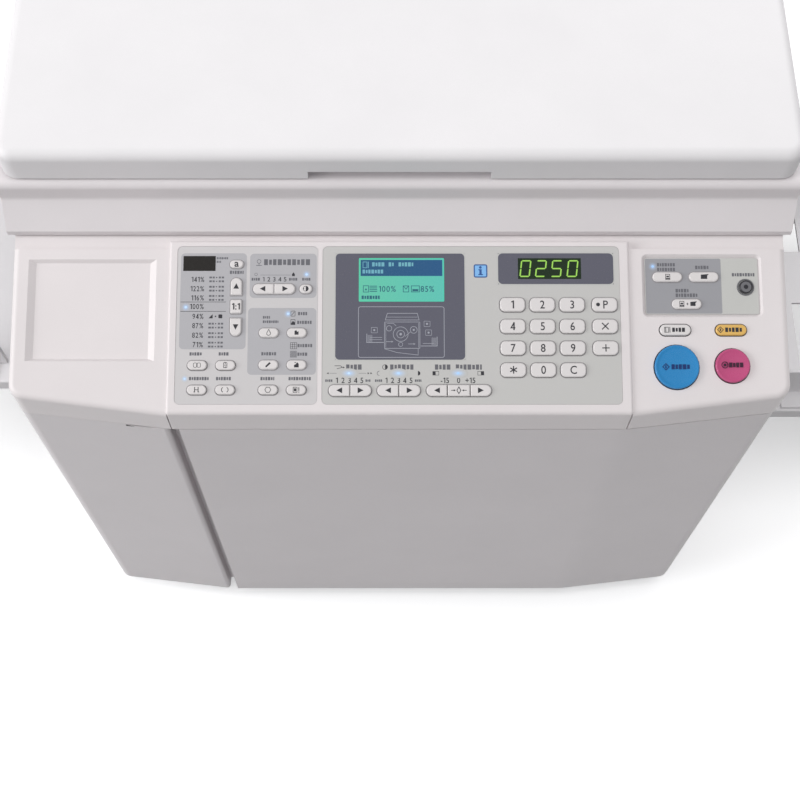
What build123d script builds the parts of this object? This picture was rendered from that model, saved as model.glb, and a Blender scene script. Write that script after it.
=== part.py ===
"""A table-top digital duplicator: scanner and stage cover above, a sloping control panel at the front,
a print drum behind the front door, a paper feed tray on the left and a receiving tray on the right.

Millimetres. +Z is up, -Y is the front, +X is the operator's right. The origin lies under the middle
of the machine, on the surface that its feet stand on.
"""
import os
from math import cos, radians, sin

from build123d import *

# Overall sizes
half_width = 305.0
front_y = -326.0
rear_y = 326.0
wall = 3.0
foot_height = 20.0
cover_bottom = 24.0
seam = 0.4
run_gap = 0.3

# Control deck: a plane that rises towards the back, in one raised middle block and two lower ends
deck_slope = 15.0
lip_height = 520.0
deck_length = 149.0
block_half = 181.0
block_length = 138.0
end_drop = 2.0
ledge_start = 132.0
ledge_drop = 4.0
end_setback = 15.0
fascia_height = 30.0
deck_wall = 2.5
lip_round = 4.0
block_round = 2.0
end_corner = 12.0
end_round = 5.5
fascia_bottom = lip_height - fascia_height
deck_back = front_y + deck_length * cos(radians(deck_slope))

panel = Plane(
    origin=(0, front_y, lip_height),
    x_dir=(1, 0, 0),
    z_dir=(0, -sin(radians(deck_slope)), cos(radians(deck_slope))),
)
panel_up = Axis((0, 0, 0), tuple(panel.z_dir))

# Panel sheets, in pockets of the deck: left edge, right edge, lower edge, upper edge along the deck
sheet_thick = 1.0
sheet_pocket = 1.2
sheet_gap = 0.15
sheet_corner = 4.0
sheet_low = 7.5
sheet_high = 133.5
left_sheet = (-174.5, -64.0, sheet_low, sheet_high)
centre_sheet = (-60.2, 172.9, sheet_low, sheet_high)
right_sheet = (193.4, 282.8, 79.5, 125.2)
right_pocket_depth = 2.5
right_pocket_slope = 2.5

# Displays, each a flat window over a module
zoom_window = (-169.6, -144.8, 114.0, 125.5)
zoom_module = (-168.0, -146.4, 115.2, 124.3)
lcd_window = (-50.0, 51.2, 42.7, 127.8)
lcd_module = (-38.0, 41.0, 82.0, 126.0)
counter_window = (77.7, 168.3, 103.1, 128.0)
counter_module = (90.0, 146.0, 105.0, 126.5)
window_thick = 1.0
window_sink = 0.1
module_depth = 9.0

# Keys: a cap stands this far above its panel and hangs this far below it
key_gap = 0.25
key_split = 0.6
key_edge = 0.7
key_rise = 1.8
key_depth = 5.0
big_key_rise = 3.0

# Keypad
keypad_columns = (88.5, 111.8, 135.1)
keypad_rows = (86.3, 69.0, 51.7, 34.4)
keypad_side_column = 160.6
keypad_size = (19.5, 11.0)
keypad_corner = 4.0
keypad_names = (
    ("key_1", "key_2", "key_3"),
    ("key_4", "key_5", "key_6"),
    ("key_7", "key_8", "key_9"),
    ("key_star", "key_0", "key_clear"),
)

# Pill-shaped keys of the left panel: middle across, middle along the deck
pill_size = (15.0, 7.2)
pill_places = (
    (-157.2, 38.1), (-135.2, 38.1), (-157.2, 18.7), (-135.2, 18.7),
    (-101.9, 63.9), (-80.0, 63.9), (-101.9, 38.4), (-80.0, 38.4), (-101.9, 18.7), (-80.0, 18.7),
)
zoom_column = -127.8
zoom_key_width = 8.6
zoom_auto_key = (118.9, 10.4, 6.2)
zoom_keys = ((100.9, 13.8), (84.8, 10.9), (68.4, 14.0))
scan_row = 99.0
scan_strip = (-114.6, -81.8, 8.0)
scan_auto_key = (-73.3, 9.6, 7.0)

# Strips of keys under the main display: left edge, right edge, and where the strip is split
strip_row = 18.3
strip_height = 8.9
speed_strip = (-54.9, -21.8, (-38.4,))
density_strip = (-17.3, 16.2, (-0.5,))
position_strip = (20.9, 71.2, (37.1, 54.8))

# Keys of the right end: middle across, middle along the deck, width, height
master_key = (211.0, 109.4, 23.0, 7.7)
print_key = (239.7, 109.4, 23.0, 7.7)
auto_process_key = (225.6, 87.6, 23.0, 7.7)
proof_key = (215.6, 66.5, 24.0, 8.6)
reset_key = (259.2, 66.5, 24.0, 8.6)
wake_key = (272.5, 101.3, 9.4)
wake_ring = (13.0, 1.2)
start_key = (215.8, 37.0, 34.6)
stop_key = (259.2, 38.0, 26.8)

# Label recess in the left end of the deck
recess = (-292.2, -191.3, 41.8, 123.5)
recess_depth = 3.0
recess_side_slope = 5.5
recess_end_slope = 2.4

# Scanner and stage cover
scanner_overhang = 5.0
scanner_half = half_width + scanner_overhang
scanner_bottom = 554.0
scanner_top = 600.0
scanner_overlap = 4.0
scanner_front = deck_back - scanner_overlap
scanner_lip = 5.0
scanner_slope = (16.0, 23.0)
scanner_corner = 8.0
scanner_floor = 3.0
scanner_roof = 7.0
glass_size = (440.0, 318.0, 4.0)
glass_middle = 29.0
glass_ledge = 8.0
cavity_margin = 12.0
carriage_gap = 6.0
carriage_size = (60.0, glass_size[1] + 2 * (cavity_margin - carriage_gap), 22.0)
carriage_home = -190.0
carriage_lens = (44.0, carriage_size[1] - 30.0, 3.0)
rail_width = 10.0
rail_height = 6.0
hinge_inset = 20.0
hinge_y = rear_y - hinge_inset
hinge_z = 612.0
cover_front = scanner_front + 21.0
cover_inset = 4.0
cover_hinge_gap = 14.0
cover_size = (2 * (scanner_half - cover_inset), hinge_y - cover_hinge_gap - cover_front, 30.0)
cover_lift = 2.0
cover_corner = 14.0
cover_round = 8.0
cover_grip = (70.0, 12.0, 9.0)
pad_margin = 6.0
pad_size = (glass_size[0] + 2 * pad_margin, glass_size[1] + 2 * pad_margin, 7.0)
pad_glass_gap = 0.4
hinge_spread = 200.0
hinge_pin = 4.0
hinge_bore = hinge_pin + 0.05
hinge_round = 9.0
lug_width = 20.0
ear_width = 8.0

# Front door and its left neighbour
door_left = -175.0
door_bottom = 34.0
door_top = fascia_bottom - 1.5
door_thick = 20.0
door_skin = 3.0
door_flange_inset = 10.0
door_bend = 120.0
door_axis = (half_width - 14.0, front_y + 26.0)
door_barrel = 12.4
door_pin = 4.0
door_bore = door_pin + 0.05
door_rib_count = 3
door_pocket_right = half_width - 43.0
door_rib_gap = 8.0
grip_gap = 8.0
grip_round = 4.0
grip_depth = 13.0
grip_reach = 7.0
notch_middle = -201.5
notch_width = 33.0
notch_depth = 3.5
bracket_thick = 4.0
bracket_clear = 1.0
bracket_arm = (-10.0, -2.0)
bracket_disc = 9.0
pin_grip = 14.0

# Steel frame
plate_front = -270.0
plate_rear = 190.0
plate_thick = 3.0
plate_front_top = 482.0
cover_front_edge = -283.0
pan_front = -298.0
pan_height = 12.0
pan_sheet = 2.0
foot_radius = 16.0
foot_place = (250.0, 250.0)
tie_radius = 6.0
tie_places = ((-270.0, 70.0), (270.0, 70.0), (-98.0, 468.0), (278.0, 468.0))

# Printing: drum, press roller, rollers and master roll, all turning about Y
paper_middle = -20.0
drum_axis = (20.0, 375.0)
drum_radius = 90.0
drum_length = (-238.0, 160.0)
drum_wall = 2.5
drum_flange = 92.0
flange_thick = 6.0
drum_opening = 98.0
cartridge_radius = 50.0
cartridge_length = (-274.0, 40.0)
cartridge_cap = 58.0
drum_shaft = 10.0
press_radius = 25.0
press_nip = 0.5
press_shaft = 8.0
press_length = (-200.0, 150.0)
pickup_x = -262.0
pickup_radius = 22.0
pickup_gap = 0.4
pickup_shaft = 5.0
pickup_width = 22.0
pickup_spread = 34.0
master_axis = (205.0, 455.0)
master_radius = 40.0
master_core = 12.0
master_half = 150.0
shaft_fit = 0.05
handle_size = (124.0, 22.0, 24.0, 9.0)

# Trays: a shelf stands out from each side, and the tray folds about an axis along its outer edge
tray_half = 160.0
tray_reach = 62.0
tray_length = 340.0
tray_axis_x = half_width + tray_reach
tray_end = tray_axis_x + tray_length
tray_thick = 16.0
tray_roll = tray_thick / 2
tray_skin = 3.0
tray_round = 12.0
trunnion = 4.5
trunnion_length = 6.0
ear_plate = 6.0
feed_top = 262.0
feed_drop = 110.0
feed_block = 40.0
receive_top = 190.0
shelf_inner_end = -235.0
guide_thick = 4.0
guide_foot = (22.0, 3.0)
guide_lift = 0.3
guide_tab = (16.0, 5.0, 7.0)
feed_guide_span = (-tray_axis_x - 233.0, -tray_axis_x - 23.0)
feed_guide_height = 44.0
receive_guide_span = (tray_axis_x + 25.0, tray_axis_x + 245.0)
receive_guide_height = 50.0
guide_rest = 135.0
guide_in = 90.0
guide_slot_end = 13.0
stopper_x = tray_axis_x + 273.0
stopper_half = 80.0
stopper_height = 50.0
stopper_in = 180.0
stopper_out = 30.0

# Side openings, as low and high corners in Y and Z
feed_bay = (-188.0, 148.0, feed_top - feed_block - feed_drop - 12.0, 345.0)
exit_bay = (-182.5, 142.5, 219.5, 337.5)
disposal_size = (184.0, 260.0, 120.0)
disposal_corner = (-half_width - 3.0, -150.0, 392.0)
disposal_wall = 2.5
disposal_face = (3.0, 8.0)
runner = (170.0, 10.0, 4.0)
grip_slot = (90.0, 22.0)

# Power switch and mains inlet
switch_place = (-240.0, 150.0)
switch_size = (20.0, 28.0)
switch_body = 9.0
switch_axle = 1.0
switch_tilt = 9.0
inlet_place = (210.0, 90.0)
inlet_size = (48.0, 28.0)
inlet_depth = 24.0
vent_count = 9
vent_slot = (90.0, 4.0)
vent_pitch = 11.0
side_vent = (205.0, 60.0)
rear_vents = ((-150.0, 330.0), (-40.0, 330.0))


def box(low, high, mode=Mode.ADD):
    """A box between two corners, in the open part."""
    middle = tuple((a + b) / 2 for a, b in zip(low, high))
    with Locations(middle):
        Box(*[b - a for a, b in zip(low, high)], mode=mode)


def rod(axis, radius, low, high, mode=Mode.ADD):
    """A cylinder along Y about an axis given as (x, z)."""
    with BuildSketch(Plane.XZ.offset(-high)) as drawn:
        with Locations(axis):
            Circle(radius)
    extrude(drawn.sketch, amount=high - low, mode=mode)


def zone(bounds, corner=0.0, grow=0.0):
    """A rectangle of the panel from its edges, as a sketch."""
    left, right, low, high = bounds
    width, height = right - left + 2 * grow, high - low + 2 * grow
    with BuildSketch() as drawn:
        with Locations(((left + right) / 2, (low + high) / 2)):
            if corner:
                RectangleRounded(width, height, corner + grow)
            else:
                Rectangle(width, height)
    return drawn.sketch


def pill(u, v, width, height, grow=0.0):
    with BuildSketch() as drawn:
        with Locations((u, v)):
            SlotOverall(width + 2 * grow, height + 2 * grow)
    return drawn.sketch


def disc(u, v, diameter, grow=0.0):
    with BuildSketch() as drawn:
        with Locations((u, v)):
            Circle(diameter / 2 + grow)
    return drawn.sketch


def rounded(u, v, size, corner, grow=0.0):
    with BuildSketch() as drawn:
        with Locations((u, v)):
            RectangleRounded(size[0] + 2 * grow, size[1] + 2 * grow, corner + grow)
    return drawn.sketch


def strip_keys(left, right, splits, row, height):
    """The outlines of the keys that share one pill-shaped opening."""
    edges = [left - 1, *splits, right + 1]
    found = []
    for low, high in zip(edges, edges[1:]):
        with BuildSketch() as drawn:
            with Locations(((left + right) / 2, row)):
                SlotOverall(right - left, height)
            with Locations(((low + high) / 2, row)):
                Rectangle(high - low - key_split, height, mode=Mode.INTERSECT)
        found.append(drawn.sketch)
    return found


def arch(u, v, width, height, upwards, grow=0.0):
    """A key with one round end and one square end."""
    side = 1 if upwards else -1
    radius = width / 2
    with BuildSketch() as drawn:
        with Locations((u, v + side * (height / 2 - radius))):
            Circle(radius + grow)
        with Locations((u, v - side * radius / 2)):
            Rectangle(width + 2 * grow, height - radius + 2 * grow)
    return drawn.sketch


def keypad_place(row, column):
    return keypad_columns[column], keypad_rows[row]


def zoom_outlines(grow=0.0):
    """Outlines of the four keys beside the zoom list."""
    row, width, height = zoom_auto_key
    (up_row, up_height), (one_row, one_height), (down_row, down_height) = zoom_keys
    return [
        pill(zoom_column, row, width, height, grow),
        arch(zoom_column, up_row, zoom_key_width, up_height, True, grow),
        rounded(zoom_column, one_row, (zoom_key_width, one_height), 1.0, grow),
        arch(zoom_column, down_row, zoom_key_width, down_height, False, grow),
    ]


def left_outlines():
    """Outlines of every key cap on the left sheet."""
    auto_u, auto_width, auto_height = scan_auto_key
    left, right, height = scan_strip
    return [
        *zoom_outlines(),
        *strip_keys(left, right, ((left + right) / 2,), scan_row, height),
        pill(auto_u, scan_row, auto_width, auto_height),
        *[pill(u, v, *pill_size) for u, v in pill_places],
    ]


def left_openings():
    """Openings of the left sheet for its keys and its small display."""
    auto_u, auto_width, auto_height = scan_auto_key
    left, right, height = scan_strip
    return [
        *zoom_outlines(key_gap),
        pill((left + right) / 2, scan_row, right - left, height, key_gap),
        pill(auto_u, scan_row, auto_width, auto_height, key_gap),
        *[pill(u, v, *pill_size, key_gap) for u, v in pill_places],
    ]


def centre_openings():
    """Openings of the centre sheet for its keys."""
    places = [keypad_place(row, column) for row in range(4) for column in range(3)]
    places += [(keypad_side_column, keypad_rows[row]) for row in range(3)]
    strips = [
        pill((left + right) / 2, strip_row, right - left, strip_height, key_gap)
        for left, right, _ in (speed_strip, density_strip, position_strip)
    ]
    return [rounded(u, v, keypad_size, keypad_corner, key_gap) for u, v in places] + strips


def mode_openings():
    """Openings of the right sheet for its keys."""
    pills = [pill(*key, key_gap) for key in (master_key, print_key, auto_process_key)]
    return [*pills, disc(wake_key[0], wake_key[1], wake_ring[0], -wake_ring[1] + key_gap)]


def end_openings():
    """Openings in the bare right end of the deck."""
    pills = [pill(*key, key_gap) for key in (proof_key, reset_key)]
    return pills + [disc(*key, key_gap) for key in (start_key, stop_key)]


def cut_through(outlines, height, depth):
    """Cuts outlines of the panel through the open part, down from a height over the panel plane."""
    with BuildSketch(panel.offset(height)) as drawn:
        for outline in outlines:
            add(outline)
    extrude(drawn.sketch, amount=-depth, mode=Mode.SUBTRACT)


def key_cap(outlines, surface, rise=key_rise, edge=key_edge):
    """Key caps that stand above a surface, which is given by its height over the panel plane."""
    with BuildPart() as caps:
        for outline in outlines:
            with BuildPart(mode=Mode.PRIVATE) as cap:
                with BuildSketch(panel.offset(surface - key_depth)):
                    add(outline)
                extrude(amount=key_depth + rise)
                chamfer(cap.faces().sort_by(panel_up)[-1].edges(), edge)
            add(cap.part)
    return caps.part


def write(part, name):
    part.label = name
    export_step(part, f"parts/{name}.step")


def deck_outline(side, inset=0.0):
    """Corners of an end of the deck seen from above. side is -1 on the left and 1 on the right."""
    inner = side * (block_half + inset)
    outer = side * (half_width - inset)
    return (
        (inner, front_y + inset),
        (outer, front_y + end_setback + inset),
        (outer, deck_back - inset),
        (inner, deck_back - inset),
    )


def wedge(outline, bottom, drop, corner=0.0):
    """A block over an outline, closed above by the panel plane lowered by drop.

    corner rounds the outline's second corner from the front.
    """
    with BuildPart() as block:
        with BuildSketch(Plane.XY.offset(bottom)) as drawn:
            with BuildLine():
                Polyline(*outline, close=True)
            make_face()
            if corner:
                fillet(drawn.vertices().sort_by(Axis.Y)[1], corner)
        extrude(amount=lip_height)
        split(bisect_by=panel.offset(-drop), keep=Keep.BOTTOM)
    return block.part


def cut_ledge(start):
    """Lowers the open part to the ledge along the scanner, from a line across the panel."""
    with BuildSketch(panel.offset(-end_drop - ledge_drop)) as drawn:
        with Locations((0, start + deck_length / 2)):
            Rectangle(4 * half_width, deck_length)
    extrude(drawn.sketch, amount=3 * ledge_drop, mode=Mode.SUBTRACT)


def deck_end(side):
    """An end of the deck: a thin shell with an angled fascia and one rounded outer corner."""
    under_ledge = end_drop + ledge_drop + deck_wall
    with BuildPart() as end:
        add(wedge(deck_outline(side), fascia_bottom, end_drop, end_corner))
        top = end.faces().sort_by(panel_up)[-1]
        rim = [
            edge for edge in top.edges()
            if abs(edge.center().X) > block_half + 1 and edge.center().Y < deck_back - 5
        ]
        fillet(rim, end_round)
        add(wedge(deck_outline(side, deck_wall), fascia_bottom - wall, under_ledge, end_corner - deck_wall),
            mode=Mode.SUBTRACT)
        cut_ledge(ledge_start)
        tongue = sorted((side * (half_width - wall), side * (half_width - wall - deck_wall)))
        start = plate_front + 2 * plate_thick
        box((tongue[0], start, fascia_bottom - 10), (tongue[1], deck_back - 10, fascia_bottom + 10))
        root = sorted((side * (half_width - wall - deck_wall), side * (half_width - 1)))
        box((root[0], start, fascia_bottom), (root[1], deck_back - 10, fascia_bottom + 10))
    return end.part


def block_outline(length, inset=0.0):
    """Corners of the middle block seen from above, back to a length along the panel."""
    half = block_half - inset
    back = front_y + length * cos(radians(deck_slope)) - inset
    return (-half, front_y + inset), (half, front_y + inset), (half, back), (-half, back)


def make_decks():
    with BuildPart() as block:
        add(wedge(block_outline(deck_length), fascia_bottom, 0))
        cut_ledge(block_length)
        top = block.faces().sort_by(panel_up)[-1]
        fillet(top.edges().sort_by(Axis.Y)[0], lip_round)
        top = block.faces().sort_by(panel_up)[-1]
        fillet(top.edges().sort_by(Axis.Y)[1:], block_round)
        for length, drop in ((block_length, sheet_pocket), (deck_length, end_drop + ledge_drop)):
            add(wedge(block_outline(length, deck_wall), fascia_bottom - wall, drop + deck_wall),
                mode=Mode.SUBTRACT)
        pockets = [zone(bounds, sheet_corner, sheet_gap) for bounds in (left_sheet, centre_sheet)]
        cut_through(pockets, 1, 1 + sheet_pocket)
        modules = [zone(bounds) for bounds in (lcd_module, counter_module, zoom_module)]
        cut_through([*left_openings(), *centre_openings(), *modules], 1, 10)
        for side in (-1, 1):
            edge = side * (block_half - deck_wall)
            stand = sorted((edge, edge - side * 10))
            box((stand[0], plate_front - 2, plate_front_top), (stand[1], plate_front + 6, fascia_bottom + 10))
    write(block.part, "deck_centre")

    with BuildPart() as left:
        add(deck_end(-1))
        low, high, bottom, top = recess
        with BuildSketch(panel.offset(-end_drop)):
            add(zone(recess))
        with BuildSketch(panel.offset(-end_drop - recess_depth)):
            add(zone((low + recess_side_slope, high - recess_side_slope,
                      bottom + recess_end_slope, top - recess_end_slope)))
        loft(mode=Mode.SUBTRACT)
    write(left.part, "deck_left")

    with BuildPart() as right:
        add(deck_end(1))
        with BuildSketch(panel.offset(-end_drop)):
            add(zone(right_sheet, 2.0, right_pocket_slope))
        with BuildSketch(panel.offset(-end_drop - right_pocket_depth)):
            add(zone(right_sheet, 2.0, sheet_gap))
        loft(mode=Mode.SUBTRACT)
        cut_through([*mode_openings(), *end_openings()], 1, 20)
    write(right.part, "deck_right")


def make_panel_sheets():
    """Three printed sheets: two in the middle block's pockets and one in the right end's pocket."""
    surface = -(sheet_pocket - sheet_thick)
    end_surface = -end_drop - right_pocket_depth + sheet_thick
    with BuildPart() as sheets:
        for bounds, top, corner in (
            (left_sheet, surface, sheet_corner),
            (centre_sheet, surface, sheet_corner),
            (right_sheet, end_surface, 2.0),
        ):
            with BuildSketch(panel.offset(top - sheet_thick)):
                add(zone(bounds, corner))
            extrude(amount=sheet_thick)
        windows = [zone(bounds, 0, sheet_gap) for bounds in (zoom_window, lcd_window, counter_window)]
        cut_through([*left_openings(), *centre_openings(), *windows], 2, 3.5)
        cut_through(mode_openings(), -1, 8)
    write(sheets.part, "panel_sheets")


def make_displays():
    """The main window and the counter window, each over its module, and the small zoom display."""
    top = -(sheet_pocket - sheet_thick) - window_sink
    with BuildPart() as displays:
        for window, module in (
            (lcd_window, lcd_module),
            (counter_window, counter_module),
            (zoom_window, zoom_module),
        ):
            with BuildSketch(panel.offset(top - window_thick + window_sink)):
                add(zone(window))
            extrude(amount=window_thick - window_sink)
            with BuildSketch(panel.offset(top - module_depth)):
                add(zone(module, 0, -sheet_gap))
            extrude(amount=module_depth - window_thick / 2)
    write(displays.part, "displays")


def make_keys():
    sheet_surface = -(sheet_pocket - sheet_thick)
    end_surface = -end_drop
    mode_surface = -end_drop - right_pocket_depth + sheet_thick
    for row, names in enumerate(keypad_names):
        for column, name in enumerate(names):
            outline = rounded(*keypad_place(row, column), keypad_size, keypad_corner)
            write(key_cap([outline], sheet_surface), name)
    side = [rounded(keypad_side_column, v, keypad_size, keypad_corner) for v in keypad_rows[:3]]
    write(key_cap(side, sheet_surface), "memory_keys")
    write(key_cap(left_outlines(), sheet_surface), "left_panel_keys")
    strips = []
    for left, right, splits in (speed_strip, density_strip, position_strip):
        strips += strip_keys(left, right, splits, strip_row, strip_height)
    write(key_cap(strips, sheet_surface), "adjust_keys")
    for name, key in (
        ("master_key", master_key),
        ("print_key", print_key),
        ("auto_process_key", auto_process_key),
    ):
        write(key_cap([pill(*key)], mode_surface), name)
    write(key_cap([pill(*proof_key)], end_surface), "proof_key")
    write(key_cap([pill(*reset_key)], end_surface), "reset_key")
    inner = wake_ring[0] - 2 * wake_ring[1]
    write(key_cap([disc(wake_key[0], wake_key[1], inner)], mode_surface), "wake_key")
    write(key_cap([disc(*start_key)], end_surface, big_key_rise, 1.2), "start_key")
    write(key_cap([disc(*stop_key)], end_surface, big_key_rise, 1.2), "stop_key")


def scanner_section():
    """Corners of the scanner housing seen from its side, as (y, z)."""
    run, rise = scanner_slope
    foot = scanner_front, scanner_bottom + scanner_lip
    return (
        (scanner_front, scanner_bottom),
        foot,
        (foot[0] + run, foot[1] + rise),
        (foot[0] + run, scanner_top),
        (rear_y, scanner_top),
        (rear_y, scanner_bottom),
    )


def make_scanner():
    width, depth, thick = glass_size
    glass_low, glass_high = glass_middle - depth / 2, glass_middle + depth / 2
    inner_low, inner_high = glass_low - cavity_margin, glass_high + cavity_margin
    with BuildPart() as housing:
        with BuildSketch(Plane.YZ.offset(-scanner_half)):
            with BuildLine():
                Polyline(*scanner_section(), close=True)
            make_face()
        extrude(amount=2 * scanner_half)
        fillet(housing.edges().filter_by(Axis.Z).group_by(Axis.Y)[-1], scanner_corner)
        brow = scanner_front + scanner_slope[0]
        fillet(housing.edges().filter_by(Axis.X).filter_by_position(Axis.Y, brow - 1, brow + 1), 6)
        box((-scanner_half + cavity_margin, inner_low, scanner_bottom + scanner_floor),
            (scanner_half - cavity_margin, inner_high, scanner_top - scanner_roof), Mode.SUBTRACT)
        for low, high in ((inner_low, inner_low + rail_width), (inner_high - rail_width, inner_high)):
            box((-scanner_half + cavity_margin, low, scanner_bottom + scanner_floor),
                (scanner_half - cavity_margin, high, scanner_bottom + scanner_floor + rail_height))
        box((-width / 2 - seam, glass_low - seam, scanner_top - thick),
            (width / 2 + seam, glass_high + seam, scanner_top + 1), Mode.SUBTRACT)
        box((-width / 2 + glass_ledge, glass_low + glass_ledge, scanner_top - thick - scanner_roof),
            (width / 2 - glass_ledge, glass_high - glass_ledge, scanner_top), Mode.SUBTRACT)
        for low, high in hinge_ears():
            box((low, hinge_y - hinge_round, scanner_top), (high, hinge_y + hinge_round, hinge_z))
            with BuildSketch(Plane.YZ.offset(low)):
                with Locations((hinge_y, hinge_z)):
                    Circle(hinge_round)
            extrude(amount=high - low)
        with BuildSketch(Plane.YZ.offset(-scanner_half)):
            with Locations((hinge_y, hinge_z)):
                Circle(hinge_bore)
        extrude(amount=2 * scanner_half, mode=Mode.SUBTRACT)
    write(housing.part, "scanner_housing")

    with BuildPart() as glass:
        with Locations((0, glass_middle, scanner_top - thick / 2)):
            Box(*glass_size)
    write(glass.part, "stage_glass")

    with BuildPart() as carriage:
        long, across, tall = carriage_size
        seat = scanner_bottom + scanner_floor + rail_height + run_gap
        with Locations((carriage_home, glass_middle, seat)):
            Box(long, across, tall, align=(Align.CENTER, Align.CENTER, Align.MIN))
        lens_long, lens_across, lens_deep = carriage_lens
        with Locations((carriage_home, glass_middle, seat + tall)):
            Box(lens_long, lens_across, 2 * lens_deep, mode=Mode.SUBTRACT)
        chamfer(carriage.faces().sort_by(Axis.Z)[-1].outer_wire().edges(), 2)
    write(carriage.part, "scan_carriage")


def hinge_ears():
    """Low and high X of the four ears that hold the stage cover's two pins."""
    found = []
    for side in (-1, 1):
        near, far = lug_width / 2 + run_gap, lug_width / 2 + run_gap + ear_width
        found += [
            (side * hinge_spread + near, side * hinge_spread + far),
            (side * hinge_spread - far, side * hinge_spread - near),
        ]
    return found


def make_stage_cover():
    width, depth, thick = cover_size
    bottom = scanner_top + cover_lift
    pad_width, pad_depth, pad_thick = pad_size
    pad_bottom = scanner_top + pad_glass_gap
    with BuildPart() as cover:
        with BuildSketch(Plane.XY.offset(bottom)):
            with Locations((0, cover_front + depth / 2)):
                RectangleRounded(width, depth, cover_corner)
        extrude(amount=thick)
        fillet(cover.faces().sort_by(Axis.Z)[-1].edges(), cover_round)
        for x in (-hinge_spread, hinge_spread):
            box((x - lug_width / 2, cover_front + depth - 10, hinge_z - 6),
                (x + lug_width / 2, hinge_y, hinge_z + 6))
            with BuildSketch(Plane.YZ.offset(x - lug_width / 2)):
                with Locations((hinge_y, hinge_z)):
                    Circle(hinge_round)
            extrude(amount=lug_width)
            with BuildSketch(Plane.YZ.offset(x - lug_width / 2)):
                with Locations((hinge_y, hinge_z)):
                    Circle(hinge_bore)
            extrude(amount=lug_width, mode=Mode.SUBTRACT)
        box((-pad_width / 2 - seam, glass_middle - pad_depth / 2 - seam, bottom),
            (pad_width / 2 + seam, glass_middle + pad_depth / 2 + seam, pad_bottom + pad_thick),
            Mode.SUBTRACT)
        grip_half, grip_in, grip_high = cover_grip
        box((-grip_half, cover_front - 1, bottom), (grip_half, cover_front + grip_in, bottom + grip_high),
            Mode.SUBTRACT)
    write(cover.part, "stage_cover")

    with BuildPart() as pad:
        with BuildSketch(Plane.XY.offset(pad_bottom)):
            with Locations((0, glass_middle)):
                RectangleRounded(pad_width, pad_depth, 4)
        extrude(amount=pad_thick)
    write(pad.part, "pressure_pad")


def door_front(x):
    """Y of the machine's front face at an x."""
    over = max(0.0, abs(x) - block_half)
    return front_y + over * end_setback / (half_width - block_half)


def door_shape():
    """The door seen from above, with a round hinge edge about its axis."""
    axis_x, axis_y = door_axis
    with BuildSketch(Plane.XY.offset(door_bottom)) as shape:
        with BuildLine():
            Polyline(
                (door_left, front_y),
                (block_half, front_y),
                (axis_x, door_front(axis_x)),
                (axis_x, axis_y + door_barrel),
                (door_pocket_right, front_y + door_thick),
                (door_left + door_flange_inset, front_y + door_thick),
                (door_left + door_flange_inset, front_y + door_skin),
                (door_left, front_y + door_skin),
                close=True,
            )
        make_face()
        fillet(shape.vertices().sort_by(Axis.Y)[:2].sort_by(Axis.X)[-1], door_bend)
        with Locations(door_axis):
            Circle(door_barrel)
    return shape


def make_front_door():
    axis_x, axis_y = door_axis
    height = door_top - door_bottom
    pocket = (height - (door_rib_count + 1) * door_skin) / door_rib_count
    with BuildPart() as door:
        add(door_shape().sketch)
        extrude(amount=height)
        fillet(door.edges().filter_by(Axis.Z).sort_by(Axis.X)[:1], 1.2)
        for step in range(door_rib_count):
            low = door_bottom + door_skin + step * (pocket + door_skin)
            box((door_left + door_flange_inset + door_skin, front_y + door_skin, low),
                (block_half - door_rib_gap, front_y + 2 * door_thick, low + pocket), Mode.SUBTRACT)
            with BuildSketch(Plane.XY.offset(low)):
                with BuildLine():
                    Polyline(
                        (block_half - door_rib_gap + door_skin, front_y + door_skin + 1),
                        (door_pocket_right - 6, door_front(door_pocket_right) + door_skin + 0.6),
                        (door_pocket_right - 6, front_y + 2 * door_thick),
                        (block_half - door_rib_gap + door_skin, front_y + 2 * door_thick),
                        close=True,
                    )
                make_face()
            extrude(amount=pocket, mode=Mode.SUBTRACT)
        notch = bracket_thick + 2 * bracket_clear
        for low in (door_bottom, door_top - notch):
            box((axis_x - door_barrel - 6, door_front(axis_x) + door_skin, low),
                (axis_x + 2 * door_barrel, axis_y + 2 * door_barrel, low + notch), Mode.SUBTRACT)
        with Locations((axis_x, axis_y, door_bottom + height / 2)):
            Cylinder(door_bore, height, mode=Mode.SUBTRACT)
    write(door.part, "front_door")


def cover_outline(right, back, inset=0.0):
    """The left front cover seen from above, rounded at its outer corner and beside the door."""
    front = front_y + inset
    turn = end_setback / (half_width - block_half)
    with BuildSketch() as shape:
        with BuildLine():
            Polyline(
                (-half_width + inset, back),
                (-half_width + inset, front + turn * (half_width - block_half)),
                (right - inset, front + turn * (-right - block_half)),
                (right - inset, back),
                close=True,
            )
        make_face()
        fillet(shape.vertices().sort_by(Axis.Y)[1], end_corner - inset)
        fillet(shape.vertices().sort_by(Axis.Y)[0], grip_round - inset)
    return shape.sketch


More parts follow.
